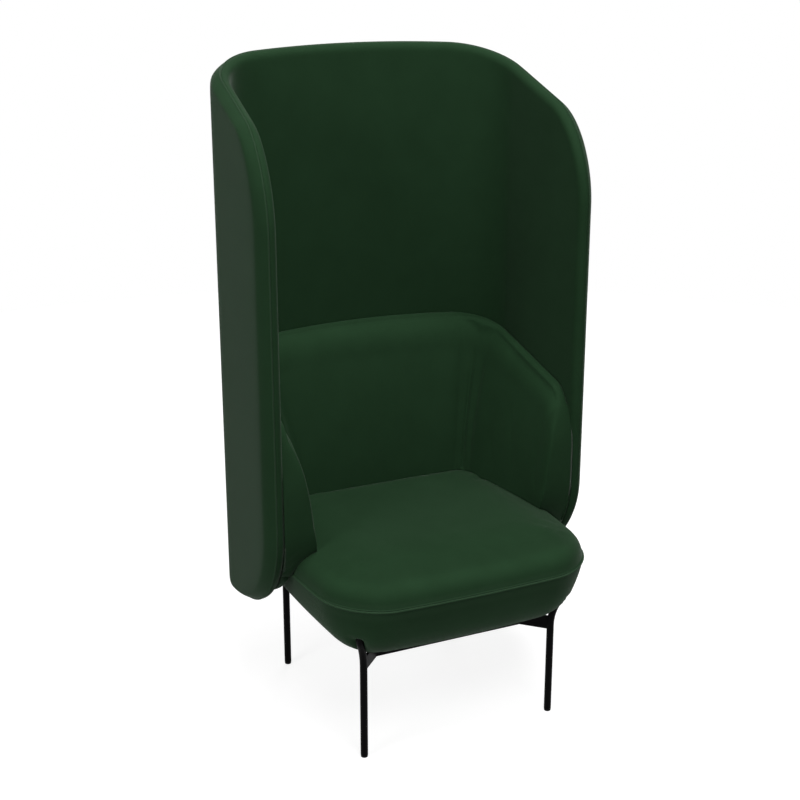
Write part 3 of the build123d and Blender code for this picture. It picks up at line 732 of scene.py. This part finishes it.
def rounded_join(first, second, radius):
    """Two lines that meet in a corner, joined by an arc; also where the arc starts and ends."""
    corner = first[-1]
    v1 = first[-2] - corner
    v2 = second[1] - corner
    v1, v2 = v1 / np.linalg.norm(v1), v2 / np.linalg.norm(v2)
    angle = math.acos(float(np.clip(v1 @ v2, -1, 1)))
    cut = radius / math.tan(angle / 2)
    run1, run2 = run_along(first), run_along(second)
    p1 = np.array([np.interp(run1[-1] - cut, run1, first[:, c]) for c in (0, 1)])
    p2 = np.array([np.interp(cut, run2, second[:, c]) for c in (0, 1)])
    hold = 4 / 3 * math.tan((math.pi - angle) / 4) * radius / cut
    t = np.linspace(0, 1, 40)[:, None]
    q1, q2 = p1 + (corner - p1) * hold, p2 + (corner - p2) * hold
    arc = (1 - t) ** 3 * p1 + 3 * t * (1 - t) ** 2 * q1 + 3 * t * t * (1 - t) * q2 + t ** 3 * p2
    head = np.vstack((first[run1 < run1[-1] - cut - 1e-6], p1[None]))
    tail = np.vstack((p2[None], second[run2 > cut + 1e-6]))
    return join(head, arc, tail), run1[-1] - cut, run1[-1] - cut + run_along(arc)[-1]


def matched_line(line, arc_start, arc_end, front_y, s_at):
    """Points of an inner line that lie opposite the places s_at on the screen's plan."""
    run = run_along(line)
    side_y = -10.0                  # from here forward, points of one y lie opposite
    side_s = front_s - (side_y - wing_front_y) / math.cos(splay)
    end_s = front_s - (front_y - wing_front_y) / math.cos(splay)

    def run_at(y):
        return np.interp(-y, -line[:, 1], run)

    side_run, end_run = run_at(side_y), run_at(front_y)
    knots_s = (0, 0.9 * bow_run, bow_run + corner_run, side_s, end_s)
    knots_run = (0, arc_start, arc_end, side_run, end_run)
    at = np.interp(s_at, knots_s, knots_run)
    return np.stack([np.interp(at, run, line[:, c]) for c in (0, 1)], axis=1)


level_step = 4.0
table_levels = np.arange(420.0, 848.0, level_step)
table_s = np.linspace(0, arm_front_s, 260)
recess_table = []
for level in table_levels:
    z = max(level, recess_levels[0])
    values = [
        three_point(v, recess_levels, z)
        for v in (recess_back, recess_corner_x, recess_corner_y, recess_middle_x,
                  recess_middle_y, recess_front_x, recess_radius)
    ]
    back, cx, cy, mx, my, fx, radius = values
    rear = circle_arc((-cx, cy), (0, back), (cx, cy), 241)[120:]
    arm = circle_arc((cx, cy), (mx, my), (fx, recess_front_y), 160)
    recess_table.append(matched_line(*rounded_join(rear, arm, radius), arm_front_y, table_s))
recess_table = np.array(recess_table)


def look_up(s, z):
    """Plan place of the recess's surface opposite s, at height z."""
    a = np.clip(np.abs(s) / arm_front_s * (len(table_s) - 1), 0, len(table_s) - 1.001)
    b = np.clip((z - table_levels[0]) / level_step, 0, len(table_levels) - 1.001)
    ia, ib = a.astype(int), b.astype(int)
    fa, fb = (a - ia)[..., None], (b - ib)[..., None]
    low = recess_table[ib, ia] * (1 - fa) + recess_table[ib, ia + 1] * fa
    high = recess_table[ib + 1, ia] * (1 - fa) + recess_table[ib + 1, ia + 1] * fa
    place = low * (1 - fb) + high * fb
    return np.where(s < 0, -1.0, 1.0) * place[..., 0], place[..., 1]


def arm_foot(z):
    """How far the arm's front edge lies behind its front at height z.

    Beside the seat and above it the edge keeps step with the screen's lower corner.
    """
    share = np.clip(1 - (z - screen_low) / low_corner[1], 0, 1)
    with_screen = low_corner[0] * (1 - np.sqrt(1 - share ** 2))
    share = np.clip(1 - (z - back_low) / arm_low_corner[1], 0, 1)
    own = arm_low_corner[0] * (1 - np.sqrt(1 - share ** 2))
    blend = eased(np.clip((z - back_low) / (seam_height - back_low), 0, 1))
    return own + (with_screen - own) * blend


def arm_outline(inner):
    """Function from an inset to the sides of the back's inner or outer face, rolled out flat.

    The third column is how far the rim's full rounding is used there.
    """
    lean = math.sqrt(1 + ridge_slope ** 2)
    sink = 0.0 if inner else groove_sink

    def height_at(s, z):
        y = look_up(s, z)[1] if inner else screen_plan(s, wall_out)[1]
        return ridge_height - sink - ridge_slope * (ridge_y - y)

    def ridge_line(s):
        z = np.full_like(s, ridge_height)
        for _ in range(4):
            z = height_at(s, z)
        return z

    def contact(s):
        if not inner:
            return np.full_like(s, seam_height)
        z = np.full_like(s, recess_levels[0])
        for _ in range(3):
            x, y = look_up(s, z)
            z = np.maximum(seat_top(x, y) + seat_gap, contact_least)
        return z

    def sides(inset):
        tuck = 0.02 * inset
        along = 0.55 * inset
        front = arm_front_s - along
        corner_top = float(ridge_line(np.array([front]))[0]) - lean * inset
        start = arm_front_s - arm_corner[0]
        head = quarter(
            (front, corner_top - arm_corner[1] + inset), (front, corner_top),
            (start, float(ridge_line(np.array([start]))[0]) - lean * inset),
        )
        # the arm's front edge leans back below, along the large lower corner
        foot_z = np.linspace(back_low + 4, back_low + arm_low_corner[1], 60)
        foot_e = arm_foot(foot_z)
        first_low = float(contact(np.array([arm_front_s - 10.0]))[0]) + tuck
        foot = np.stack((arm_front_s - foot_e - tuck, foot_z), axis=1)
        keep = foot[foot[:, 1] > first_low + 1]
        low_s = float(np.interp(first_low, foot[:, 1], foot[:, 0]))
        edge = np.vstack(([(low_s, first_low)], keep, head[:1]))
        rise = eased(np.clip((edge[:, 1] - first_low) / rise_run, 0, 1))
        edge[:, 0] = np.minimum(edge[:, 0], arm_front_s - tuck - (along - tuck) * rise)
        low_s_line = np.linspace(0, low_s, 200)
        low = np.stack((low_s_line, contact(low_s_line) + tuck), axis=1)
        low[-1, 1] = first_low
        ridge_s = np.linspace(start, 0, 120)
        ridge = np.stack((ridge_s, ridge_line(ridge_s) - lean * inset), axis=1)
        half = len(head) // 2

        def full(line, value):
            return np.column_stack((line, np.broadcast_to(value, len(line))))

        side = join(edge, head[: half + 1])
        grow = 0.02 + 0.28 * eased(np.clip((side[:, 1] - first_low) / rise_run, 0, 1))
        grow = grow + 0.7 * eased(np.clip((side[:, 1] - rim_starts) / rise_run, 0, 1))
        return four_sides(full(low, 0.02), full(side, grow), full(join(head[half:], ridge), 1.0))
    return sides


def to_wall(grid, place):
    """Level direction from each place of a face to the screen behind it, and the distance."""
    away = screen_point(grid, wall_out) - place
    away[..., 2] = 0
    length = np.linalg.norm(away, axis=2, keepdims=True)
    return away / length, length


def back_pad(nx, ny):
    """Padded back and arms above the seat, from the screen's face to the recess."""
    outer, inner = arm_outline(False), arm_outline(True)
    turns = np.radians((0, 9, 19, 30, 42, 54, 66, 78, 90))
    insets = list(rim_height * (1 - np.cos(turns))) + [rim_height + 7, rim_height + 15]
    retreat = np.concatenate((rim_width * (1 - np.sin(turns)), (0.0, 0.0)))
    shares = (0.0, 0.04, 0.14, 0.3, 0.48, 0.66, 0.84, 1.0)
    nz = len(shares) - 1
    mask = on_edge(nx, ny)

    wall = span_grid(outer, (3.0, 9.0, 16.0), nx, ny)[0]
    wall_edge = span_grid(outer, (0.0,), nx, ny)[0]
    face, ring = span_grid(inner, insets, nx, ny)

    def on_face(grid, pull):
        """Face of the pad, drawn back by pull but never nearer the screen than the shell inside."""
        x, y = look_up(grid[..., 0], grid[..., 1])
        place = np.dstack((x, y, grid[..., 1]))
        way, length = to_wall(grid, place)
        inside = np.clip(np.array(insets)[ring] / cover_inset, 0, 1)
        past_bow = np.abs(grid[..., 0]) - bow_run
        turning = (past_bow - turn_shares[0] * corner_run) / (turn_shares[1] * corner_run)
        cover = shell_cover + turn_cover * np.exp(-turning ** 2)
        least = (edge_cover * length[..., 0] * (1 - inside) + cover * inside)[..., None]
        return place + way * np.clip(pull[..., None], 0, np.maximum(length - least, 0))

    places, flat, marks = empty_layers(nz, nx, ny)
    places[0] = screen_point(wall, wall_out)
    flat[0] = wall[..., :2]
    pull = retreat[ring] * face[..., 2]
    # the cover is drawn into the corner between the back and each arm
    crease = np.exp(-((np.abs(face[..., 0]) - crease_s) / crease_half) ** 2)
    fade = np.clip((face[..., 1] - crease_foot[0]) / crease_foot[1], 0, 1)
    fade = fade * np.clip((crease_head[0] - face[..., 1]) / crease_head[1], 0, 1)
    last = len(insets) - 1
    places[nz] = on_face(face, pull + crease_depth * crease * fade * (ring == last))
    flat[nz] = face[..., :2]
    marks[nz][..., 1] = np.exp(-((ring - 4) / 2.5) ** 2) * (face[..., 2] > 0.9) * (ring < last)
    start, end = screen_point(wall_edge, wall_out), places[nz]
    # beside the front edge of the screen the arm fills the hollow of the rounded edge
    ahead = wall_edge[..., 0] + np.sign(wall_edge[..., 0]) * edge_fill[0]
    x, y = screen_plan(ahead, wall_out + edge_fill[1])
    for side in (0, nx):
        start[side] = np.dstack((x, y, wall_edge[..., 1]))[side]
    way = outward(inner, nx, ny)
    thick = np.linalg.norm(end - start, axis=2)
    for layer in range(1, nz):
        share = shares[layer]
        line = start * (1 - share) + end * share
        upper = np.clip((line[..., 2] - top_swell_rise[0]) / top_swell_rise[1], 0, 1)
        line[..., 2] += top_swell * 4 * share * (1 - share) * upper
        # the underside lies on the seat
        rest = seat_top(line[:, 0, 0], np.clip(line[:, 0, 1], None, seat_rear_y))
        line[:, 0, 2] = np.maximum(rest, seam_height) + seat_gap
        places[layer][mask] = line[mask]
        flat[layer][mask] = (face[..., :2] + way * (thick * (1 - share))[..., None])[mask]
    return padded_body("back_and_arms", places, flat, marks)


back_cells = (150, 56)
back_upper, index = back_pad(*back_cells)
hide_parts("back_cover", "back_foam")
layer, depth = layer_and_depth(index, back_cells)
inner_face = (layer == layer.max()) & (depth > back_held)
spread = np.clip((depth - back_held) / 10, 0, 1)
relax(back_upper, ~inner_face, back_cap * spread * (2 - spread) * inner_face)


def skirt_outline(inset):
    """Sides of the padding beside and behind the seat, below its seam, rolled out flat."""
    top = seam_height - 0.4 - 0.3 * inset
    foot_z = np.linspace(back_low + arm_low_corner[1], back_low, 80)
    foot_e = arm_foot(foot_z)
    foot = np.stack((arm_front_s - foot_e, foot_z + inset), axis=1)[::-1]
    foot = foot[foot[:, 1] < top]
    top_s = np.interp(top, foot_z[::-1] + inset, (arm_front_s - foot_e)[::-1])
    foot = np.vstack((foot, [(top_s, top)]))
    low_half = straight((0, back_low + inset), foot[0], 60)
    half = len(foot) // 2
    top_half = straight((foot[-1][0], top), (0, top), 80)
    return four_sides(join(low_half, foot[: half + 1]), foot[half:], top_half)


def back_skirt(nx, ny):
    """Padding beside and behind the seat, from the screen's face to the cushion's outline."""
    rear_y = seat_rear_y + skirt_gap
    rear = straight((0, rear_y), (seat_half[2] + skirt_gap, rear_y), 90)
    side_y = np.linspace(rear_y, skirt_line_y, 160)
    arm = np.stack((seat_side(side_y) + skirt_gap, side_y), axis=1)
    at = np.linspace(0, skirt_reach, 260)
    corner_r = seat_rear_corner + 1.0
    line = matched_line(*rounded_join(rear, arm, corner_r), skirt_front_y, at)
    insets = (0.0, 1.5, 4.0, 8.0, 13.0)
    retreat = np.array((5.0, 2.6, 0.9, 0.0, 0.0))
    mask = on_edge(nx, ny)
    wall = span_grid(skirt_outline, (2.0, 7.0, 13.0), nx, ny)[0]
    wall_edge = span_grid(skirt_outline, (0.0,), nx, ny)[0]
    face, ring = span_grid(skirt_outline, insets, nx, ny)
    side = np.where(face[..., 0] < 0, -1.0, 1.0)
    x = side * np.interp(np.abs(face[..., 0]), at, line[:, 0])
    y = np.interp(np.abs(face[..., 0]), at, line[:, 1])
    place = np.dstack((x, y, face[..., 1]))
    front = place + to_wall(face, place)[0] * retreat[ring][..., None]
    shares = (0.0, 0.06, 0.25, 0.5, 0.75, 1.0)
    nz = len(shares) - 1
    places, flat, marks = empty_layers(nz, nx, ny)
    places[0], flat[0] = screen_point(wall, wall_out), wall
    places[nz], flat[nz] = front, face
    start = screen_point(wall_edge, wall_out)
    way = outward(skirt_outline, nx, ny)
    thick = np.linalg.norm(front - start, axis=2)
    for layer in range(1, nz):
        share = shares[layer]
        places[layer][mask] = (start * (1 - share) + front * share)[mask]
        flat[layer][mask] = (face + way * (thick * (1 - share))[..., None])[mask]
    return padded_body("back_skirt", places, flat, marks)[0]


back_lower = back_skirt(150, 16)
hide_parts("back_cover", "back_foam")


# ---- materials ---------------------------------------------------------------------------------
class Value:
    """A socket that takes part in sums."""

    def __init__(self, graph, socket):
        self.graph, self.socket = graph, socket

    def _sum(self, operation, first, second):
        return self.graph.node("ShaderNodeMath", {"operation": operation}, {0: first, 1: second})

    def __add__(self, other):
        return self._sum("ADD", self, other)

    __radd__ = __add__

    def __sub__(self, other):
        return self._sum("SUBTRACT", self, other)

    def __rsub__(self, other):
        return self._sum("SUBTRACT", other, self)

    def __mul__(self, other):
        return self._sum("MULTIPLY", self, other)

    __rmul__ = __mul__

    def __truediv__(self, other):
        return self._sum("DIVIDE", self, other)

    def __rtruediv__(self, other):
        return self._sum("DIVIDE", other, self)

    def __pow__(self, other):
        return self._sum("POWER", self, other)

    def clamped(self, low=0.0, high=1.0):
        return self.graph.node("ShaderNodeClamp", {}, {"Value": self, "Min": low, "Max": high})

    def sine(self):
        return self.graph.node("ShaderNodeMath", {"operation": "SINE"}, {0: self})


class Graph:
    """Nodes of one material."""

    def __init__(self, name, **constants):
        self.material = bpy.data.materials.new(name)
        self.material.use_nodes = True
        self.tree = self.material.node_tree
        self.shader = self.tree.nodes["Principled BSDF"]
        for socket, value in constants.items():
            self.shader.inputs[socket.replace("_", " ")].default_value = value

    def feed(self, socket, value):
        if isinstance(value, Value):
            self.tree.links.new(value.socket, socket)
        else:
            socket.default_value = value

    def node(self, kind, settings=None, inputs=None, output=0):
        """One node: its settings come first, then the values or links of its sockets."""
        made = self.tree.nodes.new(kind)
        for key, value in (settings or {}).items():
            setattr(made, key, value)
        for key, value in (inputs or {}).items():
            self.feed(made.inputs[key], value)
        return Value(self, made.outputs[output])

    def noise(self, vector, scale, detail=2.0, roughness=0.5):
        return self.node(
            "ShaderNodeTexNoise", {},
            {"Vector": vector, "Scale": scale, "Detail": detail, "Roughness": roughness}, "Fac",
        )

    def blend(self, factor, first, second):
        made = self.tree.nodes.new("ShaderNodeMix")
        made.data_type = "RGBA"
        self.feed(made.inputs[0], factor)
        self.feed(made.inputs[6], first)
        self.feed(made.inputs[7], second)
        return Value(self, made.outputs[2])

    def finish(self, **varying):
        for socket, value in varying.items():
            self.feed(self.shader.inputs[socket.replace("_", " ")], value)
        return self.material

    def bump(self, height, distance, strength=1.0):
        return self.node(
            "ShaderNodeBump", {}, {"Height": height, "Distance": distance, "Strength": strength},
            "Normal",
        )


def rgb(r, g, b):
    return (r, g, b, 1.0)


def shade(tone, share):
    """The tone, darker or lighter by a share."""
    return rgb(*(c * share for c in tone[:3]))


thread_step = 0.0026                # metres between two threads of one colour
thread_drift = 0.0012               # how far a thread wanders, in metres
layer_step = 0.003                  # metres between two layers of plywood of one colour


def wool_cover(name, dark, light, seam_tone_and_highlight, on_cloth=True):
    """Plain weave wool, a little felted, rubbed at edges; seams lighter by wear and painted
    highlight.
    """
    g = Graph(
        name, Sheen_Weight=0.115, Sheen_Roughness=0.3, Sheen_Tint=rgb(0.80, 0.86, 0.80),
        Specular_IOR_Level=0.05,
    )
    body = g.node("ShaderNodeTexCoord", {}, {}, "Object")
    cloth = g.node("ShaderNodeUVMap", {"uv_map": "cloth"}) if on_cloth else body
    drift = g.noise(cloth, 90.0, 1.0)
    parts = g.tree.nodes.new("ShaderNodeSeparateXYZ")
    g.feed(parts.inputs[0], cloth)
    across = Value(g, parts.outputs[0]) + drift * thread_drift
    along = Value(g, parts.outputs[1]) + drift * thread_drift
    thread = 2 * math.pi / thread_step
    weave = (across * thread).sine() * (along * thread).sine()
    fibre = g.noise(cloth, 1500.0, 3.0, 0.7)
    melange = g.noise(cloth, 420.0, 2.0, 0.6)
    mottle = g.noise(body, 16.0, 3.0, 0.55)
    broad = g.noise(body, 3.2, 2.0)
    tone = (0.5 + (melange - 0.5) * 0.9 + (fibre - 0.5) * 0.7 + weave * 0.1
            + (mottle - 0.5) * 0.5 + (broad - 0.5) * 0.4).clamped()
    colour = g.blend(tone, dark, light)
    if on_cloth:
        rub = g.node("ShaderNodeAttribute", {"attribute_name": "rub"}, {}, "Fac")
        worn = (rub * (0.25 + mottle * 0.5)).clamped()
        colour = g.blend(worn * 0.35, colour, shade(light, 1.9))
        # seams drawn lighter: partly wear along them, partly a painted highlight on the raised seam
        seam = g.node("ShaderNodeAttribute", {"attribute_name": "seam"}, {}, "Fac")
        colour = g.blend((seam * (0.75 + fibre * 0.3)).clamped(), colour, seam_tone_and_highlight)
    height = weave * 0.5 + (fibre - 0.5) * 0.9 + (melange - 0.5) * 0.5
    return g.finish(
        Base_Color=colour, Roughness=0.78 + (fibre - 0.5) * 0.16,
        Normal=g.bump(height, 0.00035, 0.55),
    )


def powder_coat(name, tone):
    """Fine textured black powder coating, a little smoother where it has been rubbed."""
    g = Graph(name, Specular_IOR_Level=0.03)
    body = g.node("ShaderNodeTexCoord", {}, {}, "Object")
    grain = g.noise(body, 900.0, 3.0, 0.6)
    patch = g.noise(body, 30.0, 2.0)
    uneven = (0.5 + (grain - 0.5) * 0.6 + (patch - 0.5) * 0.8).clamped()
    colour = g.blend(uneven, shade(tone, 0.7), shade(tone, 1.4))
    return g.finish(
        Base_Color=colour, Roughness=0.42 + (patch - 0.5) * 0.2 + (grain - 0.5) * 0.1,
        Normal=g.bump(grain, 0.00008, 0.5),
    )


def moulded_plastic(name, tone):
    """Matt moulded plastic with scuffs underneath."""
    g = Graph(name, Specular_IOR_Level=0.08)
    body = g.node("ShaderNodeTexCoord", {}, {}, "Object")
    grain = g.noise(body, 1400.0, 2.0)
    scuff = g.noise(body, 220.0, 4.0, 0.7)
    colour = g.blend((scuff * 0.9).clamped(), shade(tone, 0.8), shade(tone, 1.7))
    return g.finish(
        Base_Color=colour, Roughness=0.55 + (scuff - 0.5) * 0.25, Normal=g.bump(grain, 0.00005, 0.4)
    )


def birch_plywood(name):
    """Birch plywood: grain on the faces and fine layers on the edges."""
    g = Graph(name)
    body = g.node("ShaderNodeTexCoord", {}, {}, "Object")
    stretched = g.node(
        "ShaderNodeMapping", {}, {"Vector": body, "Scale": (60.0, 4.0, 60.0)}, "Vector"
    )
    grain = g.noise(stretched, 3.0, 5.0, 0.6)
    parts = g.tree.nodes.new("ShaderNodeSeparateXYZ")
    g.feed(parts.inputs[0], body)
    layers = (Value(g, parts.outputs[2]) * (2 * math.pi / layer_step)).sine()
    tone = (grain * 0.8 + layers * 0.08 + 0.1).clamped()
    colour = g.blend(tone, rgb(0.36, 0.22, 0.11), rgb(0.62, 0.45, 0.27))
    return g.finish(
        Base_Color=colour, Roughness=0.6 + (grain - 0.5) * 0.2, Normal=g.bump(grain, 0.0002, 0.4)
    )


def zinc_plated(name):
    """Bright zinc with a faint cloudy passivation."""
    g = Graph(name)
    body = g.node("ShaderNodeTexCoord", {}, {}, "Object")
    cloud = g.noise(body, 140.0, 3.0)
    colour = g.blend(cloud, rgb(0.5, 0.5, 0.49), rgb(0.68, 0.68, 0.64))
    return g.finish(
        Base_Color=colour, Metallic=0.9 + cloud * 0.1, Roughness=0.28 + (cloud - 0.5) * 0.2,
        Normal=g.bump(cloud, 0.00005, 0.3),
    )


green_dark = rgb(0.0072, 0.0228, 0.0087)
green_light = rgb(0.0130, 0.0366, 0.0155)
# green of the seams, lighter than the cover: partly wear, partly a painted highlight on the raised
# seam
seam_green_and_highlight = rgb(0.0190, 0.0430, 0.0215)
cover = wool_cover("green_wool", green_dark, green_light, seam_green_and_highlight)
# the piping's wool is lighter than the cover's: a painted highlight on the raised cord
cord = wool_cover(
    "green_wool_piping", rgb(0.0150, 0.0370, 0.0170), rgb(0.0250, 0.0560, 0.0280), seam_green_and_highlight, False
)
steel = powder_coat("black_powder_coat", (0.0012, 0.0012, 0.0013))
glide = moulded_plastic("black_glide_plastic", (0.0016, 0.0016, 0.0017))
plywood = birch_plywood("birch_plywood")
zinc = zinc_plated("zinc_plated_steel")


def dress(piece, material):
    piece.data.materials.clear()
    piece.data.materials.append(material)


for piece in (screen_outer, screen_inner, seat_upper, seat_lower, back_upper, back_lower):
    dress(piece, cover)
dress(seat_welt, cord)
finishes = (
    (("join_plate_", "leg_", "gusset_", "rail_"), steel),
    (("glide_",), glide),
    (("seat_board", "back_base_board", "back_shell", "screen_core"), plywood),
    (("board_screws", "joining_bolts", "joining_nuts"), zinc),
    (
        ("seat_cover", "seat_foam", "seat_welt", "back_cover", "back_foam", "screen_cover",
         "screen_foam"),
        cover,
    ),
)
for name, node in nodes.items():
    for starts, material in finishes:
        if name.startswith(starts):
            dress(node, material)
            break


# ---- studio ------------------------------------------------------------------------------------
floor_radius = 3.7
floor_drop = 0.0004                 # the floor lies this far under the glides
floor_lift = 0.82                   # light of its own, so that it renders nearly white


def studio_floor():
    g = Graph("studio_floor", Roughness=0.9)
    g.shader.inputs["Base Color"].default_value = rgb(0.34, 0.34, 0.34)
    tree = g.tree
    seen = g.node("ShaderNodeLightPath", {}, {}, "Is Camera Ray")
    glossy = g.node("ShaderNodeLightPath", {}, {}, "Is Glossy Ray")
    passing = g.node("ShaderNodeLightPath", {}, {}, "Is Transmission Ray")
    lift = tree.nodes.new("ShaderNodeEmission")
    lift.inputs["Color"].default_value = rgb(1, 1, 1)
    g.feed(lift.inputs["Strength"], (seen + glossy + passing).clamped() * floor_lift)
    total = tree.nodes.new("ShaderNodeAddShader")
    output = tree.nodes["Material Output"]
    tree.links.new(g.shader.outputs[0], total.inputs[0])
    tree.links.new(lift.outputs[0], total.inputs[1])
    tree.links.new(total.outputs[0], output.inputs["Surface"])
    bm = bmesh.new()
    bmesh.ops.create_circle(bm, cap_ends=True, segments=96, radius=floor_radius)
    bmesh.ops.translate(bm, verts=bm.verts, vec=(0, 0, -floor_drop))
    mesh = bpy.data.meshes.new("studio_floor")
    bm.to_mesh(mesh)
    bm.free()
    floor = put("studio_floor", mesh)
    dress(floor, g.material)


studio_floor()


def lamp(name, place, size, power):
    """Round soft lamp that faces the middle of the chair."""
    light = bpy.data.lights.new(name, "AREA")
    light.shape = "DISK"
    light.size = size
    light.energy = power
    holder = put(name, light)
    holder.location = place
    way = [b - a for a, b in zip(place, middle)]
    holder.rotation_euler = Vector(way).to_track_quat("-Z", "Y").to_euler()


middle = (0.0, 0.0, 0.7)
lamp("top_lamp", (0.2, -0.6, 4.2), 2.2, 128)
lamp("front_lamp", (-0.6, -2.8, 3.8), 1.8, 60)
lamp("left_lamp", (-3.4, -1.4, 2.2), 1.6, 46)
lamp("rear_lamp", (2.2, 3.4, 2.2), 2.0, 34)

# white for the camera and in reflections, and only a little light on the chair
world = bpy.data.worlds.new("studio_air")
bpy.context.scene.world = world
world.use_nodes = True
air = world.node_tree
sky = air.nodes["Background"]
sky.inputs["Color"].default_value = rgb(1, 1, 1)
path = air.nodes.new("ShaderNodeLightPath")
shown = path.outputs["Is Camera Ray"]
for ray in ("Is Glossy Ray", "Is Transmission Ray"):
    either = air.nodes.new("ShaderNodeMath")
    either.operation = "MAXIMUM"
    air.links.new(shown, either.inputs[0])
    air.links.new(path.outputs[ray], either.inputs[1])
    shown = either.outputs[0]
strength = air.nodes.new("ShaderNodeMapRange")
strength.inputs["To Min"].default_value = 0.2
strength.inputs["To Max"].default_value = 1.0
air.links.new(shown, strength.inputs["Value"])
air.links.new(strength.outputs[0], sky.inputs["Strength"])

camera_data = bpy.data.cameras.new("camera")
camera_data.lens = 67.18
camera_data.sensor_width = 36
camera = put("camera", camera_data)
camera.location = (-1.3342, -2.7780, 1.7379)
camera.rotation_euler = (math.radians(71.30), 0.0, math.radians(-25.18))
bpy.context.scene.camera = camera
bpy.context.scene.view_settings.view_transform = "Standard"
